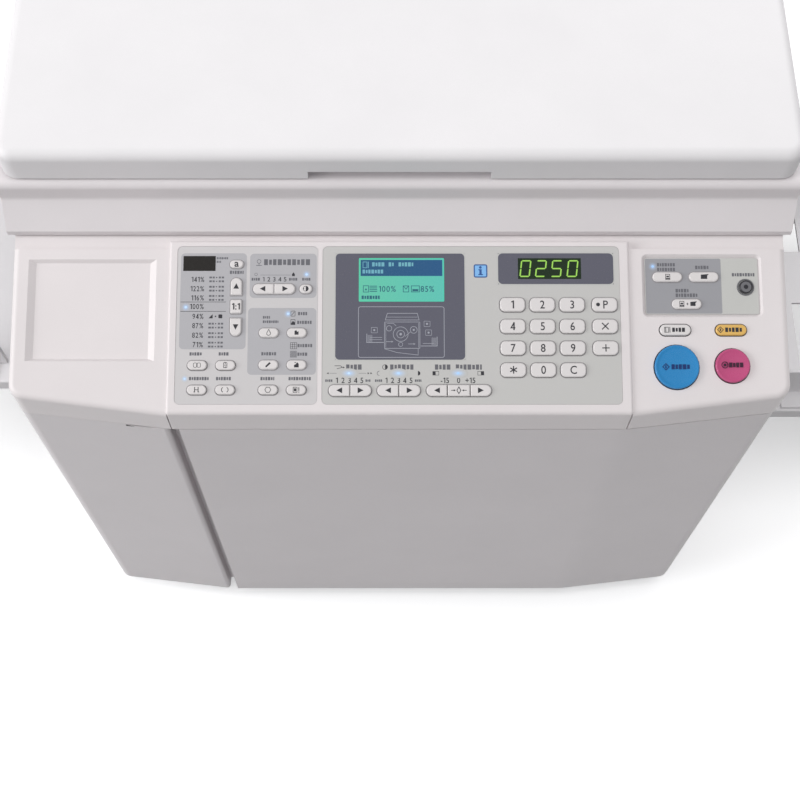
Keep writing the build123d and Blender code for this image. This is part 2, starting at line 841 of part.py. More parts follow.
def make_front_left_cover():
    """The fixed cover left of the door, with a floor behind the gap where fingers reach the door."""
    right = door_left - grip_gap
    back = cover_front_edge - seam
    top = fascia_bottom - seam
    with BuildPart() as cover:
        with BuildSketch(Plane.XY.offset(door_bottom)):
            add(cover_outline(right, back))
        extrude(amount=top - door_bottom)
        with BuildSketch(Plane.XY.offset(door_bottom + wall)):
            add(cover_outline(right, back + 1, wall))
        extrude(amount=top - door_bottom - 2 * wall, mode=Mode.SUBTRACT)
        box((right - wall, front_y + grip_depth, door_bottom),
            (door_left + grip_reach, front_y + grip_depth + wall, top))
        for edge in (right - wall, -half_width + 4 * wall):
            box((edge, back - 2 * wall, door_bottom + 20), (edge + wall, plate_front, door_top - 20))
        box((-half_width + wall, back - 2 * wall, door_bottom + 20),
            (-half_width + 4 * wall, back - wall, door_top - 20))
        notch_radius = (notch_width ** 2 / 4 + notch_depth ** 2) / (2 * notch_depth)
        with Locations((notch_middle, door_front(notch_middle), top - notch_depth + notch_radius)):
            with Locations(Rotation(90, 0, 0)):
                Cylinder(notch_radius, 16, mode=Mode.SUBTRACT)
    write(cover.part, "front_left_cover")


def make_side_covers():
    profile = (
        (cover_front_edge, cover_bottom),
        (rear_y - wall - seam, cover_bottom),
        (rear_y - wall - seam, scanner_bottom - seam),
        (deck_back + seam, scanner_bottom - seam),
        (deck_back + seam, fascia_bottom - seam),
        (cover_front_edge, fascia_bottom - seam),
    )
    for side, name in ((-1, "left_side_cover"), (1, "right_side_cover")):
        outer, inner = side * half_width, side * (half_width - wall)
        with BuildPart() as cover:
            with BuildSketch(Plane.YZ.offset(min(outer, inner))):
                with BuildLine():
                    Polyline(*profile, close=True)
                make_face()
            extrude(amount=wall)
            flange = sorted((inner, inner - side * 6))
            box((flange[0], cover_front_edge, cover_bottom + 20),
                (flange[1], cover_front_edge + wall, fascia_bottom - 12))
            box((flange[0], rear_y - 2 * wall - seam, cover_bottom + 20),
                (flange[1], rear_y - wall - seam, scanner_bottom - 10))
            bay = feed_bay if side < 0 else exit_bay
            box((min(outer, inner) - 1, bay[0], bay[2]), (max(outer, inner) + 1, bay[1], bay[3]),
                Mode.SUBTRACT)
            for step in range(vent_count):
                start, low = side_vent[0], side_vent[1] + step * vent_pitch
                box((min(outer, inner) - 1, start, low),
                    (max(outer, inner) + 1, start + vent_slot[0], low + vent_slot[1]), Mode.SUBTRACT)
            if side < 0:
                add_disposal_slot()
            else:
                add_receive_shelf()
                y, z = switch_place
                box((inner - 1, y - switch_size[0] / 2, z - switch_size[1] / 2),
                    (outer + 1, y + switch_size[0] / 2, z + switch_size[1] / 2), Mode.SUBTRACT)
                axle_reach = switch_size[0] / 2 + 2
                rod((half_width - wall / 2, z), switch_axle + shaft_fit, y - axle_reach, y + axle_reach,
                    Mode.SUBTRACT)
        write(cover.part, name)


def add_disposal_slot():
    """The disposal box's opening in the left cover, and the two runners moulded behind it."""
    x, y, z = disposal_corner
    _, across, tall = disposal_size
    box((-half_width - 1, y - run_gap, z - run_gap),
        (-half_width + wall + 1, y + across + run_gap, z + tall + run_gap), Mode.SUBTRACT)
    long, width, thick = runner
    for low in (y, y + across - width):
        box((-half_width, low, z - run_gap - thick), (-half_width + long, low + width, z - run_gap))


def add_receive_shelf():
    """The moulded shelf that carries the receiving tray, with an ear at each end of its outer edge."""
    axis_z = receive_top - tray_roll
    shelf_end = tray_axis_x - tray_roll - 0.5
    low, high = paper_middle - tray_half, paper_middle + tray_half
    box((half_width - wall, low, receive_top - tray_thick), (shelf_end, high, receive_top))
    for step in range(4):
        y = low + 12 + step * (high - low - 30) / 3
        with BuildSketch(Plane.XZ.offset(-y)) as rib:
            with BuildLine():
                Polyline(
                    (half_width - wall, receive_top - tray_thick),
                    (shelf_end - 6, receive_top - tray_thick),
                    (half_width - wall, receive_top - 60),
                    close=True,
                )
            make_face()
        extrude(rib.sketch, amount=-6)
    for start in (low - ear_plate, high):
        box((half_width - wall, start, receive_top - tray_thick), (tray_axis_x, start + ear_plate, receive_top))
        rod((tray_axis_x, axis_z), tray_roll, start, start + ear_plate)
        rod((tray_axis_x, axis_z), trunnion + shaft_fit, start, start + ear_plate, Mode.SUBTRACT)


def make_feed_lift():
    """The shelf that carries the paper stack up to the pickup roller, with ears for the feed tray."""
    axis_z = feed_top - tray_roll
    shelf_end = -tray_axis_x + tray_roll + 0.5
    low, high = paper_middle - tray_half, paper_middle + tray_half
    with BuildPart() as lift:
        box((shelf_end, low, feed_top - tray_thick), (shelf_inner_end, high, feed_top))
        box((shelf_end + tray_skin, low + tray_skin, feed_top - tray_thick - 1),
            (shelf_inner_end - tray_skin, high - tray_skin, feed_top - tray_skin), Mode.SUBTRACT)
        for start in (low - ear_plate, high):
            box((-tray_axis_x, start, feed_top - tray_thick), (shelf_inner_end, start + ear_plate, feed_top))
            rod((-tray_axis_x, axis_z), tray_roll, start, start + ear_plate)
            rod((-tray_axis_x, axis_z), trunnion + shaft_fit, start, start + ear_plate, Mode.SUBTRACT)
        edges = (low - ear_plate, high + ear_plate)
        for edge, bay_edge, direction in ((edges[0], feed_bay[0], -1), (edges[1], feed_bay[1], 1)):
            reach = sorted((edge, bay_edge - direction * run_gap))
            box((-half_width - 6, reach[0], feed_top - feed_block),
                (-half_width + wall + 6, reach[1], feed_top))
    write(lift.part, "feed_lift")


def tray_body(side, top):
    """A folding tray: ribbed shell, rolled hinge edge and two trunnions. side is -1 or 1."""
    axis = (side * tray_axis_x, top - tray_roll)
    low, high = paper_middle - tray_half, paper_middle + tray_half
    near, far = side * tray_axis_x, side * tray_end
    slot = guide_tab[0] + 2 * seam
    slot_near, slot_far = guide_rest - guide_in - guide_slot_end, guide_rest + guide_slot_end
    with BuildPart() as tray:
        with BuildSketch(Plane.XY.offset(top - tray_thick)) as plan:
            with Locations(((near + far) / 2, paper_middle)):
                Rectangle(abs(far - near), 2 * tray_half - 2 * run_gap)
            ends = plan.vertices().sort_by(Axis.X)
            fillet(ends[:2] if side < 0 else ends[-2:], tray_round)
        extrude(amount=tray_thick)
        rim = tray.faces().sort_by(Axis.Z)[-1].edges().sort_by(Axis.X)
        fillet(rim[:3] if side < 0 else rim[-3:], 2)
        hollow = sorted((near + side * 18, far - side * tray_skin))
        count = 4
        bay = (2 * tray_half - 2 * tray_skin - (count - 1) * tray_skin) / count
        for step in range(count):
            start = low + tray_skin + step * (bay + tray_skin)
            box((hollow[0] + 2, start, top - tray_thick - 1), (hollow[1] - 2, start + bay, top - tray_skin),
                Mode.SUBTRACT)
        rod(axis, tray_roll, low + run_gap, high - run_gap)
        rod(axis, trunnion, low - trunnion_length + 0.5, high + trunnion_length - 0.5)
        for x in guide_slots(side):
            for start, end in (
                (paper_middle - slot_far, paper_middle - slot_near),
                (paper_middle + slot_near, paper_middle + slot_far),
            ):
                box((x - slot / 2, start, top - tray_thick - 1), (x + slot / 2, end, top + 1), Mode.SUBTRACT)
        if side > 0:
            box((stopper_x - stopper_in - 10, paper_middle - 8, top - tray_thick - 1),
                (stopper_x + stopper_out + 16, paper_middle + 8, top + 1), Mode.SUBTRACT)
    return tray.part


def guide_slots(side):
    """X of the two slots across a tray that the guides slide along."""
    low, high = feed_guide_span if side < 0 else receive_guide_span
    return low + 45, high - 45


def side_guide(side, top, span, height, place):
    """A paper guide: an upright fence on a foot, with two tabs down through the tray's slots."""
    outward = -1 if place < paper_middle else 1
    base = top + guide_lift
    foot_width, foot_thick = guide_foot
    with BuildPart() as guide:
        face = sorted((place, place + outward * guide_thick))
        box((span[0], face[0], base), (span[1], face[1], base + height))
        fillet(guide.edges().filter_by(Axis.Y).sort_by(Axis.Z)[-2:], 12)
        foot = sorted((place, place + outward * foot_width))
        box((span[0] + 10, foot[0], base), (span[1] - 10, foot[1], base + foot_thick))
        for x in guide_slots(side):
            tab_x, tab_y, tab_z = guide_tab
            start = place + outward * 5
            tab = sorted((start, start + outward * tab_y))
            box((x - tab_x / 2, tab[0], base - tab_z), (x + tab_x / 2, tab[1], base))
    return guide.part


def make_trays():
    write(tray_body(-1, feed_top), "feed_tray")
    write(tray_body(1, receive_top), "receive_tray")
    for name, direction in (("front", -1), ("rear", 1)):
        place = paper_middle + direction * guide_rest
        write(side_guide(-1, feed_top, feed_guide_span, feed_guide_height, place), f"feed_guide_{name}")
        write(side_guide(1, receive_top, receive_guide_span, receive_guide_height, place),
              f"receive_guide_{name}")
    base = receive_top + guide_lift
    with BuildPart() as stopper:
        box((stopper_x, paper_middle - stopper_half, base),
            (stopper_x + guide_thick, paper_middle + stopper_half, base + stopper_height))
        fillet(stopper.edges().filter_by(Axis.X).sort_by(Axis.Z)[-2:], 12)
        box((stopper_x, paper_middle - 24, base), (stopper_x + 26, paper_middle + 24, base + 3))
        box((stopper_x + 2, paper_middle - 7.5, base - 10), (stopper_x + 14, paper_middle + 7.5, base))
    write(stopper.part, "end_stopper")


def make_disposal_box():
    x, y, z = disposal_corner
    long, across, tall = disposal_size
    face_thick, face_border = disposal_face
    with BuildPart() as bin_box:
        box((x, y, z), (x + long, y + across, z + tall))
        box((x + disposal_wall, y + disposal_wall, z + disposal_wall),
            (x + long - disposal_wall, y + across - disposal_wall, z + tall + 1), Mode.SUBTRACT)
        outer = -half_width - run_gap
        box((outer - face_thick, y - face_border, z - face_border),
            (outer, y + across + face_border, z + tall + face_border))
        fillet(bin_box.faces().sort_by(Axis.X)[0].edges(), 1.5)
        width, height = grip_slot
        middle_y, low_z = y + across / 2, z + tall - 10 - height
        box((outer - face_thick - 1, middle_y - width / 2, low_z),
            (outer - 1 + 12, middle_y + width / 2, low_z + height), Mode.SUBTRACT)
        box((x + disposal_wall, middle_y - width / 2 - 2, low_z - 2),
            (outer + 14, middle_y + width / 2 + 2, low_z + height + 2))
        box((outer - face_thick - 1, middle_y - width / 2, low_z),
            (outer + 11, middle_y + width / 2, low_z + height), Mode.SUBTRACT)
    write(bin_box.part, "disposal_box")


def make_frame():
    with BuildPart() as pan:
        half, rear = half_width - wall, rear_y - wall
        box((-half, pan_front, foot_height), (half, rear, foot_height + pan_height))
        box((-half + pan_sheet, pan_front + pan_sheet, foot_height + pan_sheet),
            (half - pan_sheet, rear - pan_sheet, foot_height + pan_height + 1), Mode.SUBTRACT)
    write(pan.part, "base_pan")

    with BuildPart() as feet:
        x, y = foot_place
        with Locations((-x, -y, 0), (x, -y, 0), (-x, y, 0), (x, y, 0)):
            Cone(foot_radius - 2, foot_radius, foot_height, align=(Align.CENTER, Align.CENTER, Align.MIN))
    write(feet.part, "feet")

    bottom = foot_height + pan_sheet
    with BuildPart() as plates:
        for low, top in ((plate_front, plate_front_top), (plate_rear, scanner_bottom)):
            box((-half, low, bottom + pan_height), (half, low + plate_thick, top))
            box((-half + pan_sheet, low, bottom), (half - pan_sheet, low + plate_thick, bottom + pan_height))
        for place in tie_places:
            rod(place, tie_radius, plate_front, plate_rear + plate_thick)
        for axis, radius in (
            (pickup_axis(), pickup_shaft), ((drum_axis[0], press_height()), press_shaft),
            (master_axis, master_core),
        ):
            rod(axis, radius + shaft_fit, plate_front - 1, plate_rear + 5, Mode.SUBTRACT)
        rod(drum_axis, drum_opening, plate_front - 1, plate_front + plate_thick + 1, Mode.SUBTRACT)
        rod(drum_axis, drum_shaft + shaft_fit, plate_rear - 1, plate_rear + 5, Mode.SUBTRACT)
    write(plates.part, "frame_plates")


def press_height():
    return drum_axis[1] - drum_radius - press_nip - press_radius


def pickup_axis():
    return pickup_x, feed_top + pickup_radius + pickup_gap


def make_rollers():
    start, end = drum_length
    hub = cartridge_radius + run_gap
    with BuildPart() as drum:
        rod(drum_axis, drum_radius, start, end)
        rod(drum_axis, drum_flange, start, start + flange_thick)
        rod(drum_axis, drum_flange, end - flange_thick, end)
        rod(drum_axis, drum_radius - drum_wall, start + flange_thick, end - flange_thick, Mode.SUBTRACT)
        rod(drum_axis, hub, start - 1, start + flange_thick + 1, Mode.SUBTRACT)
        rod(drum_axis, hub + 4, plate_front, start + flange_thick)
        rod(drum_axis, hub, plate_front - 1, start + flange_thick + 1, Mode.SUBTRACT)
        rod(drum_axis, drum_shaft, end - flange_thick, plate_rear + plate_thick + 4)
    write(drum.part, "print_drum")

    with BuildPart() as carrier:
        rod(drum_axis, drum_opening - 0.4, plate_front - 2, plate_front + plate_thick)
        rod(drum_axis, drum_opening + 8, plate_front - 4, plate_front)
        rod(drum_axis, hub + 4 + shaft_fit, plate_front - 5, plate_front + plate_thick + 1, Mode.SUBTRACT)
        long, tall, reach, bar = handle_size
        x, z = drum_axis
        low, front = z + 62, plate_front - 4 - reach
        box((x - long / 2, front, low), (x + long / 2, plate_front - 4, low + tall))
        box((x - long / 2 + bar, front + bar, low - 1), (x + long / 2 - bar, plate_front - 4, low + tall + 1),
            Mode.SUBTRACT)
    write(carrier.part, "drum_frame")

    low, high = cartridge_length
    with BuildPart() as cartridge:
        rod(drum_axis, cartridge_radius, low, high)
        rod(drum_axis, cartridge_radius - 14, low + 40, high + 12)
        rod(drum_axis, cartridge_cap, low - 10, low)
        x, z = drum_axis
        for offset in (-34, 10):
            box((x + offset, low - 12, z - 10), (x + offset + 24, low - 3, z + 10), Mode.SUBTRACT)
    write(cartridge.part, "ink_cartridge")

    shaft_low, shaft_high = plate_front - 4, plate_rear + plate_thick + 4
    with BuildPart() as press:
        axis = (drum_axis[0], press_height())
        rod(axis, press_radius, *press_length)
        rod(axis, press_shaft, shaft_low, shaft_high)
    write(press.part, "press_roller")

    with BuildPart() as pickup:
        rod(pickup_axis(), pickup_shaft, shaft_low, shaft_high)
        for offset in (-pickup_spread, 0, pickup_spread):
            middle = paper_middle + offset
            rod(pickup_axis(), pickup_radius, middle - pickup_width / 2, middle + pickup_width / 2)
    write(pickup.part, "pickup_roller")

    with BuildPart() as master:
        rod(master_axis, master_core, shaft_low, shaft_high)
        rod(master_axis, master_radius, paper_middle - master_half, paper_middle + master_half)
    write(master.part, "master_roll")


def make_rear_cover():
    with BuildPart() as cover:
        box((-half_width, rear_y - wall, cover_bottom), (half_width, rear_y, scanner_bottom - seam))
        for x, first in rear_vents:
            for step in range(vent_count):
                low = first + step * vent_pitch
                box((x, rear_y - wall - 1, low), (x + vent_slot[0], rear_y + 1, low + vent_slot[1]),
                    Mode.SUBTRACT)
        x, z = inlet_place
        wide, tall = inlet_size
        box((x - wide / 2, rear_y - wall - 1, z - tall / 2), (x + wide / 2, rear_y + 1, z + tall / 2),
            Mode.SUBTRACT)
    write(cover.part, "rear_cover")

    with BuildPart() as inlet:
        fit = 0.2
        box((x - wide / 2 + fit, rear_y - inlet_depth, z - tall / 2 + fit),
            (x + wide / 2 - fit, rear_y - 0.5, z + tall / 2 - fit))
        box((x - wide / 2 - 4, rear_y - wall - 2, z - tall / 2 - 4),
            (x + wide / 2 + 4, rear_y - wall, z + tall / 2 + 4))
        box((x - wide / 2 + 10, rear_y - inlet_depth + 4, z - tall / 2 + 6),
            (x + wide / 2 - 10, rear_y + 1, z + tall / 2 - 6), Mode.SUBTRACT)
        for offset in (-7, 0, 7):
            box((x + offset - 1, rear_y - inlet_depth + 3, z - 3), (x + offset + 1, rear_y - 6, z + 3))
    write(inlet.part, "mains_inlet")


def make_power_switch():
    y, z = switch_place
    wide, tall = switch_size[0] - 2 * run_gap, switch_size[1] - 5
    middle = half_width - wall / 2
    tilted = Plane(
        origin=(middle, y + wide / 2, z),
        x_dir=(cos(radians(switch_tilt)), 0, sin(radians(switch_tilt))),
        z_dir=(0, -1, 0),
    )
    with BuildPart() as switch:
        with BuildSketch(tilted):
            with BuildLine():
                Polyline(
                    (5.0, tall / 2),
                    (3.0, 0),
                    (5.0, -tall / 2),
                    (-switch_body, -tall / 4),
                    (-switch_body, tall / 4),
                    close=True,
                )
            make_face()
        extrude(amount=wide)
        rod((middle, z), switch_axle, y - switch_size[0] / 2 - 1.5, y + switch_size[0] / 2 + 1.5)
    write(switch.part, "power_switch")


def make_hinge_hardware():
    """Two brackets with the door's pins, and the two pins of the stage cover."""
    axis_x, axis_y = door_axis
    arm_low, arm_high = bracket_arm
    with BuildPart() as hardware:
        for low, up in ((door_bottom + bracket_clear, 1), (door_top - bracket_clear - bracket_thick, -1)):
            with Locations((axis_x, axis_y, low + bracket_thick / 2)):
                Cylinder(bracket_disc, bracket_thick)
            box((axis_x + arm_low, axis_y, low), (axis_x + arm_high, plate_front, low + bracket_thick))
            box((axis_x + arm_low, plate_front - 3, low - 8), (axis_x + arm_high, plate_front, low + 12))
            middle = low + bracket_thick / 2 + up * (bracket_thick / 2 + pin_grip / 2)
            with Locations((axis_x, axis_y, middle)):
                Cylinder(door_pin, pin_grip)
        for x in (-hinge_spread, hinge_spread):
            half = lug_width / 2 + run_gap + ear_width
            with BuildSketch(Plane.YZ.offset(x - half)):
                with Locations((hinge_y, hinge_z)):
                    Circle(hinge_pin)
            extrude(amount=2 * half)
    write(hardware.part, "hinge_hardware")


def main():
    os.makedirs("parts", exist_ok=True)
    make_frame()
    make_side_covers()
    make_rear_cover()
    make_decks()
    make_panel_sheets()
    make_displays()
    make_keys()
    make_scanner()
    make_stage_cover()
    make_front_door()
    make_front_left_cover()
    make_hinge_hardware()
    make_feed_lift()
    make_trays()
    make_disposal_box()
    make_rollers()
    make_power_switch()


main()
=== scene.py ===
import math

import bmesh
import bpy
from mathutils import Matrix, Vector


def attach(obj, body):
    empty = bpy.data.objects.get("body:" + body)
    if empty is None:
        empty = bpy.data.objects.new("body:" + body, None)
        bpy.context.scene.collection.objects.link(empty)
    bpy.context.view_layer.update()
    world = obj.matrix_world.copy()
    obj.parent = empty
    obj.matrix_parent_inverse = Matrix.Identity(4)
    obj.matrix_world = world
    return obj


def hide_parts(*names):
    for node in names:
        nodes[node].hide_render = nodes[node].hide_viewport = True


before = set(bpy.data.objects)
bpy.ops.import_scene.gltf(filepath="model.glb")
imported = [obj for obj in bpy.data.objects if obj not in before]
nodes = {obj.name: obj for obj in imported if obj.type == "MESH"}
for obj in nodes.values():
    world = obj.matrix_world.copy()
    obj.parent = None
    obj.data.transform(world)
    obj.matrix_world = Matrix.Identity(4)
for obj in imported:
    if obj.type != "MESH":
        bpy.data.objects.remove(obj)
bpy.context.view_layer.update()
scene = bpy.context.scene
print("duplicator: frame loaded with", len(nodes), "nodes")

# The sloping panel: u runs right, v runs up the slope and h stands off it, all in mm
panel = {"frontY": -0.326, "lipZ": 0.520, "slope": 15.0}
panelMatrix = (
    Matrix.Translation((0, panel["frontY"], panel["lipZ"]))
    @ Matrix.Rotation(math.radians(panel["slope"]), 4, "X")
    @ Matrix.Scale(0.001, 4)
)
bodyMatrix = Matrix.Scale(0.001, 4)   # for pieces drawn in mm in the machine's own frame

# Heights of the surfaces over the panel's plane, in mm
level = {
    "sheet": -0.2, "key": 1.6, "deckEnd": -2.0, "endKey": -0.2, "bigKey": 1.0,
    "modeSheet": -3.5, "modeKey": -1.7, "lift": 0.02,
}
sheetTop = level["sheet"] + level["lift"]
modeTop = level["modeSheet"] + level["lift"]
screenTop = sheetTop + 0.07   # over the window films
thick = {"ink": 0.04, "film": 0.03, "light": 0.02}   # of printed marks, films and lit areas


# Flat shapes: an art is a mesh in the making with the heights between which its shapes lie

def newArt(low, depth):
    return {"bm": bmesh.new(), "low": low, "high": low + depth}


def slab(art, points):
    bm = art["bm"]
    lower = [bm.verts.new((u, v, art["low"])) for u, v in points]
    upper = [bm.verts.new((u, v, art["high"])) for u, v in points]
    bm.faces.new(lower[::-1])
    bm.faces.new(upper)
    for i in range(len(points)):
        j = (i + 1) % len(points)
        bm.faces.new((lower[i], lower[j], upper[j], upper[i]))


def band(art, outer, inner):
    bm, count = art["bm"], len(outer)
    loops = [
        [bm.verts.new((u, v, h)) for u, v in points]
        for points, h in ((outer, art["low"]), (outer, art["high"]), (inner, art["high"]), (inner, art["low"]))
    ]
    for k in range(4):
        a, b = loops[k], loops[(k + 1) % 4]
        for i in range(count):
            j = (i + 1) % count
            bm.faces.new((a[i], a[j], b[j], b[i]))


def roundRect(u, v, width, height, radius=0.0, steps=5):
    if radius <= 0:
        x, y = width / 2, height / 2
        return [(u - x, v - y), (u + x, v - y), (u + x, v + y), (u - x, v + y)]
    radius = min(radius, width / 2 - 0.001, height / 2 - 0.001)
    points = []
    for turn, sx, sy in ((0, 1, 1), (90, -1, 1), (180, -1, -1), (270, 1, -1)):
        cx, cy = u + sx * (width / 2 - radius), v + sy * (height / 2 - radius)
        for k in range(steps + 1):
            angle = math.radians(turn + 90 * k / steps)
            points.append((cx + radius * math.cos(angle), cy + radius * math.sin(angle)))
    return points


def circle(u, v, radius, count=28, start=0.0, sweep=360.0):
    closed = abs(sweep) >= 360
    total = count if closed else count + 1
    angles = [math.radians(start + sweep * k / count) for k in range(total)]
    return [(u + radius * math.cos(a), v + radius * math.sin(a)) for a in angles]


def bar(art, u, v, width, height, radius=0.0):
    slab(art, roundRect(u, v, width, height, radius))


def zoneOf(art, left, right, low, high, radius=0.0):
    bar(art, (left + right) / 2, (low + high) / 2, right - left, high - low, radius)


def outline(art, u, v, width, height, line, radius=0.0):
    inner = max(radius - line, 0.05) if radius else 0.0
    band(art, roundRect(u, v, width, height, radius),
         roundRect(u, v, width - 2 * line, height - 2 * line, inner))


def dot(art, u, v, radius):
    slab(art, circle(u, v, radius))


def ring(art, u, v, radius, line):
    band(art, circle(u, v, radius), circle(u, v, radius - line))


def stroke(art, points, line, closed=False):
    count, half = len(points), line / 2
    left, right = [], []
    for i in range(count):
        here = Vector(points[i])
        back = (here - Vector(points[i - 1])).normalized() if i or closed else None
        ahead = (Vector(points[(i + 1) % count]) - here).normalized() if i < count - 1 or closed else None
        back = ahead if back is None else back
        ahead = back if ahead is None else ahead
        side = Vector((-(back + ahead).y, (back + ahead).x)).normalized()
        reach = half / max(0.35, side.dot(Vector((-ahead.y, ahead.x))))
        left.append(tuple(here + side * reach))
        right.append(tuple(here - side * reach))
    if closed:
        band(art, left, right)
    else:
        slab(art, left + right[::-1])


def arrowHead(art, u, v, size, way):
    turn = math.radians(way)
    slab(art, [(u + size * math.cos(turn + k), v + size * math.sin(turn + k)) for k in (0, 2.2, -2.2)])


def arrow(art, u, v, length, way, line=0.5):
    turn = math.radians(way)
    run = Vector((math.cos(turn), math.sin(turn)))
    tail, tip = Vector((u, v)) - run * length / 2, Vector((u, v)) + run * length / 2
    stroke(art, [tuple(tail), tuple(tip - run * line * 1.5)], line)
    arrowHead(art, tip.x - run.x * line * 1.6, tip.y - run.y * line * 1.6, line * 2.2, way)


def wordBars(art, start, end, v, height):
    # A label without lettering: a row of small blocks
    widths = (1.0, 0.72, 0.9, 1.12, 0.8, 0.95)
    at, turn = start, 0
    while at < end - height * 0.3:
        width = min(height * 0.62 * widths[turn % len(widths)], end - at)
        bar(art, at + width / 2, v, width, height * (0.86 if turn % 3 == 1 else 1.0))
        at += width + height * 0.2
        turn += 1


typeface = {"cap": 0.691, "gap": 0.13}   # heights and widths at size 1


def glyphMesh(char, size, depth, bold):
    curve = bpy.data.curves.new("glyph", "FONT")
    curve.body = char
    curve.size = size
    curve.resolution_u = 3
    curve.offset = bold * size
    curve.extrude = depth / 2
    holder = bpy.data.objects.new("glyph", curve)
    mesh = bpy.data.meshes.new_from_object(holder)
    bpy.data.objects.remove(holder)
    bpy.data.curves.remove(curve)
    return mesh


def letters(art, text, u, v, height, side="centre", thin=1.0, bold=0.008):
    # Digits and signs one by one; the 1 and the 4 are drawn here
    size, depth = height / typeface["cap"], art["high"] - art["low"]
    made, at = [], 0.0
    for char in text:
        if char in "14":
            width = (0.24 if char == "1" else 0.47 * thin) * size
            made.append((char, None, at, width))
        else:
            mesh = glyphMesh(char, size, depth, bold)
            xs = [p.co.x for p in mesh.vertices]
            width = (max(xs) - min(xs)) * thin
            made.append((char, mesh, at - min(xs) * thin, width))
        at += width + typeface["gap"] * size * thin
    total = at - typeface["gap"] * size * thin
    left = u - {"centre": total / 2, "right": total, "left": 0.0}[side]
    for char, mesh, place, width in made:
        if mesh is None:
            line, x, half = (0.098 + 2 * bold) * size, left + place + width - 0.05 * size, height / 2
            if char == "4":
                x -= 0.06 * size
                bar(art, x, v, line, height)
                stroke(art, [(x, v + half * 0.86), (x - width + 0.16 * size, v - half * 0.42),
                             (x + 0.11 * size, v - half * 0.42)], line * 0.85)
                continue
            flag = [(x - 0.19 * size, v + half * 0.62), (x - 0.04 * size, v + half * 0.8), (x, v + half)]
            stroke(art, flag, line * 0.8)
            bar(art, x, v, line, height)
            continue
        move = Matrix.Translation((left + place, v - height / 2, (art["low"] + art["high"]) / 2))
        mesh.transform(move @ Matrix.Diagonal((thin, 1, 1, 1)))
        art["bm"].from_mesh(mesh)
        bpy.data.meshes.remove(mesh)


markShapes = {"bar": bar, "ring": ring, "dot": dot, "outline": outline, "stroke": stroke, "slab": slab,
              "arrow": arrow, "arrowHead": arrowHead, "letters": letters, "wordBars": wordBars}


def drawMarks(art, marks):
    # Rows of a shape's name, its numbers in mm and, at times, its named options
    for kind, *values in marks:
        options = values.pop() if isinstance(values[-1], dict) else {}
        markShapes[kind](art, *values, **options)


def makePiece(bm, name, material, body, matrix=panelMatrix, smooth=35.0):
    bmesh.ops.remove_doubles(bm, verts=bm.verts, dist=1e-4)
    bmesh.ops.recalc_face_normals(bm, faces=bm.faces)
    mesh = bpy.data.meshes.new(name)
    bm.to_mesh(mesh)
    bm.free()
    mesh.transform(matrix)
    mesh.shade_smooth()
    mesh.set_sharp_from_angle(angle=math.radians(smooth))
    mesh.materials.append(material)
    piece = bpy.data.objects.new(name, mesh)
    scene.collection.objects.link(piece)
    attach(piece, body)
    return piece


def makeArt(art, name, finish, body="machine"):
    return makePiece(art["bm"], name, finishes[finish], body)


def lathe(bm, profile, place, steps=56, axis="Z"):
    # Turns (radius, height) points about an axis through place; a radius of 0 closes the end
    turnTo = {"Z": Matrix.Identity(3), "Y": Matrix.Rotation(math.radians(90), 3, "X"),
              "X": Matrix.Rotation(math.radians(90), 3, "Y")}[axis]
    rows = []
    for radius, height in profile:
        count = 1 if radius == 0 else steps
        rows.append([
            bm.verts.new(Vector(place) + turnTo @ Vector((
                radius * math.cos(2 * math.pi * k / steps),
                radius * math.sin(2 * math.pi * k / steps), height)))
            for k in range(count)
        ])
    for a, b in zip(rows, rows[1:]):
        for k in range(steps):
            j = (k + 1) % steps
            if len(a) == 1 and len(b) > 1:
                bm.faces.new((a[0], b[k], b[j]))
            elif len(b) == 1 and len(a) > 1:
                bm.faces.new((a[k], a[j], b[0]))
            elif len(a) > 1:
                bm.faces.new((a[k], a[j], b[j], b[k]))


def softBox(bm, low, high, edge=0.6, segments=2):
    made = bmesh.ops.create_cube(bm, size=1)["verts"]
    for vert in made:
        vert.co = Vector([a + (c + 0.5) * (b - a) for a, b, c in zip(low, high, vert.co)])
    edges = {e for vert in made for e in vert.link_edges}
    bmesh.ops.bevel(bm, geom=list(edges), offset=edge, segments=segments, affect="EDGES", profile=0.5)


# Materials: colours are written as in the finished picture, 0 to 255

def linear(rgb):
    return tuple(((c / 255 + 0.055) / 1.055) ** 2.4 for c in rgb)


def addNode(tree, kind, values=None, **settings):
    node = tree.nodes.new(kind)
    for key, value in settings.items():
        setattr(node, key, value)
    for key, value in (values or {}).items():
        node.inputs[key].default_value = value
    return node


def feed(tree, source, node, socket):
    tree.links.new(source, node.inputs[socket])


def startMaterial(name):
    material = bpy.data.materials.new(name)
    material.use_nodes = True
    tree = material.node_tree
    coords = addNode(tree, "ShaderNodeTexCoord")
    return material, tree, tree.nodes["Principled BSDF"], coords.outputs["Object"]


def noiseOf(tree, source, sizeMm, detail=3.0, rough=0.55):
    noise = addNode(tree, "ShaderNodeTexNoise", {"Scale": 1000 / sizeMm, "Detail": detail, "Roughness": rough})
    feed(tree, source, noise, "Vector")
    return noise.outputs["Fac"]


def ramp(tree, source, low, high, fromLow=0.3, fromHigh=0.7):
    node = addNode(tree, "ShaderNodeMapRange",
                   {"From Min": fromLow, "From Max": fromHigh, "To Min": low, "To Max": high})
    feed(tree, source, node, "Value")
    return node.outputs["Result"]


def mixColour(tree, factor, first, second):
    node = addNode(tree, "ShaderNodeMix", data_type="RGBA")
    feed(tree, factor, node, "Factor")
    for socket, value in ((node.inputs[6], first), (node.inputs[7], second)):
        if hasattr(value, "is_output"):
            tree.links.new(value, socket)
        else:
            socket.default_value = (*value, 1)
    return node.outputs[2]


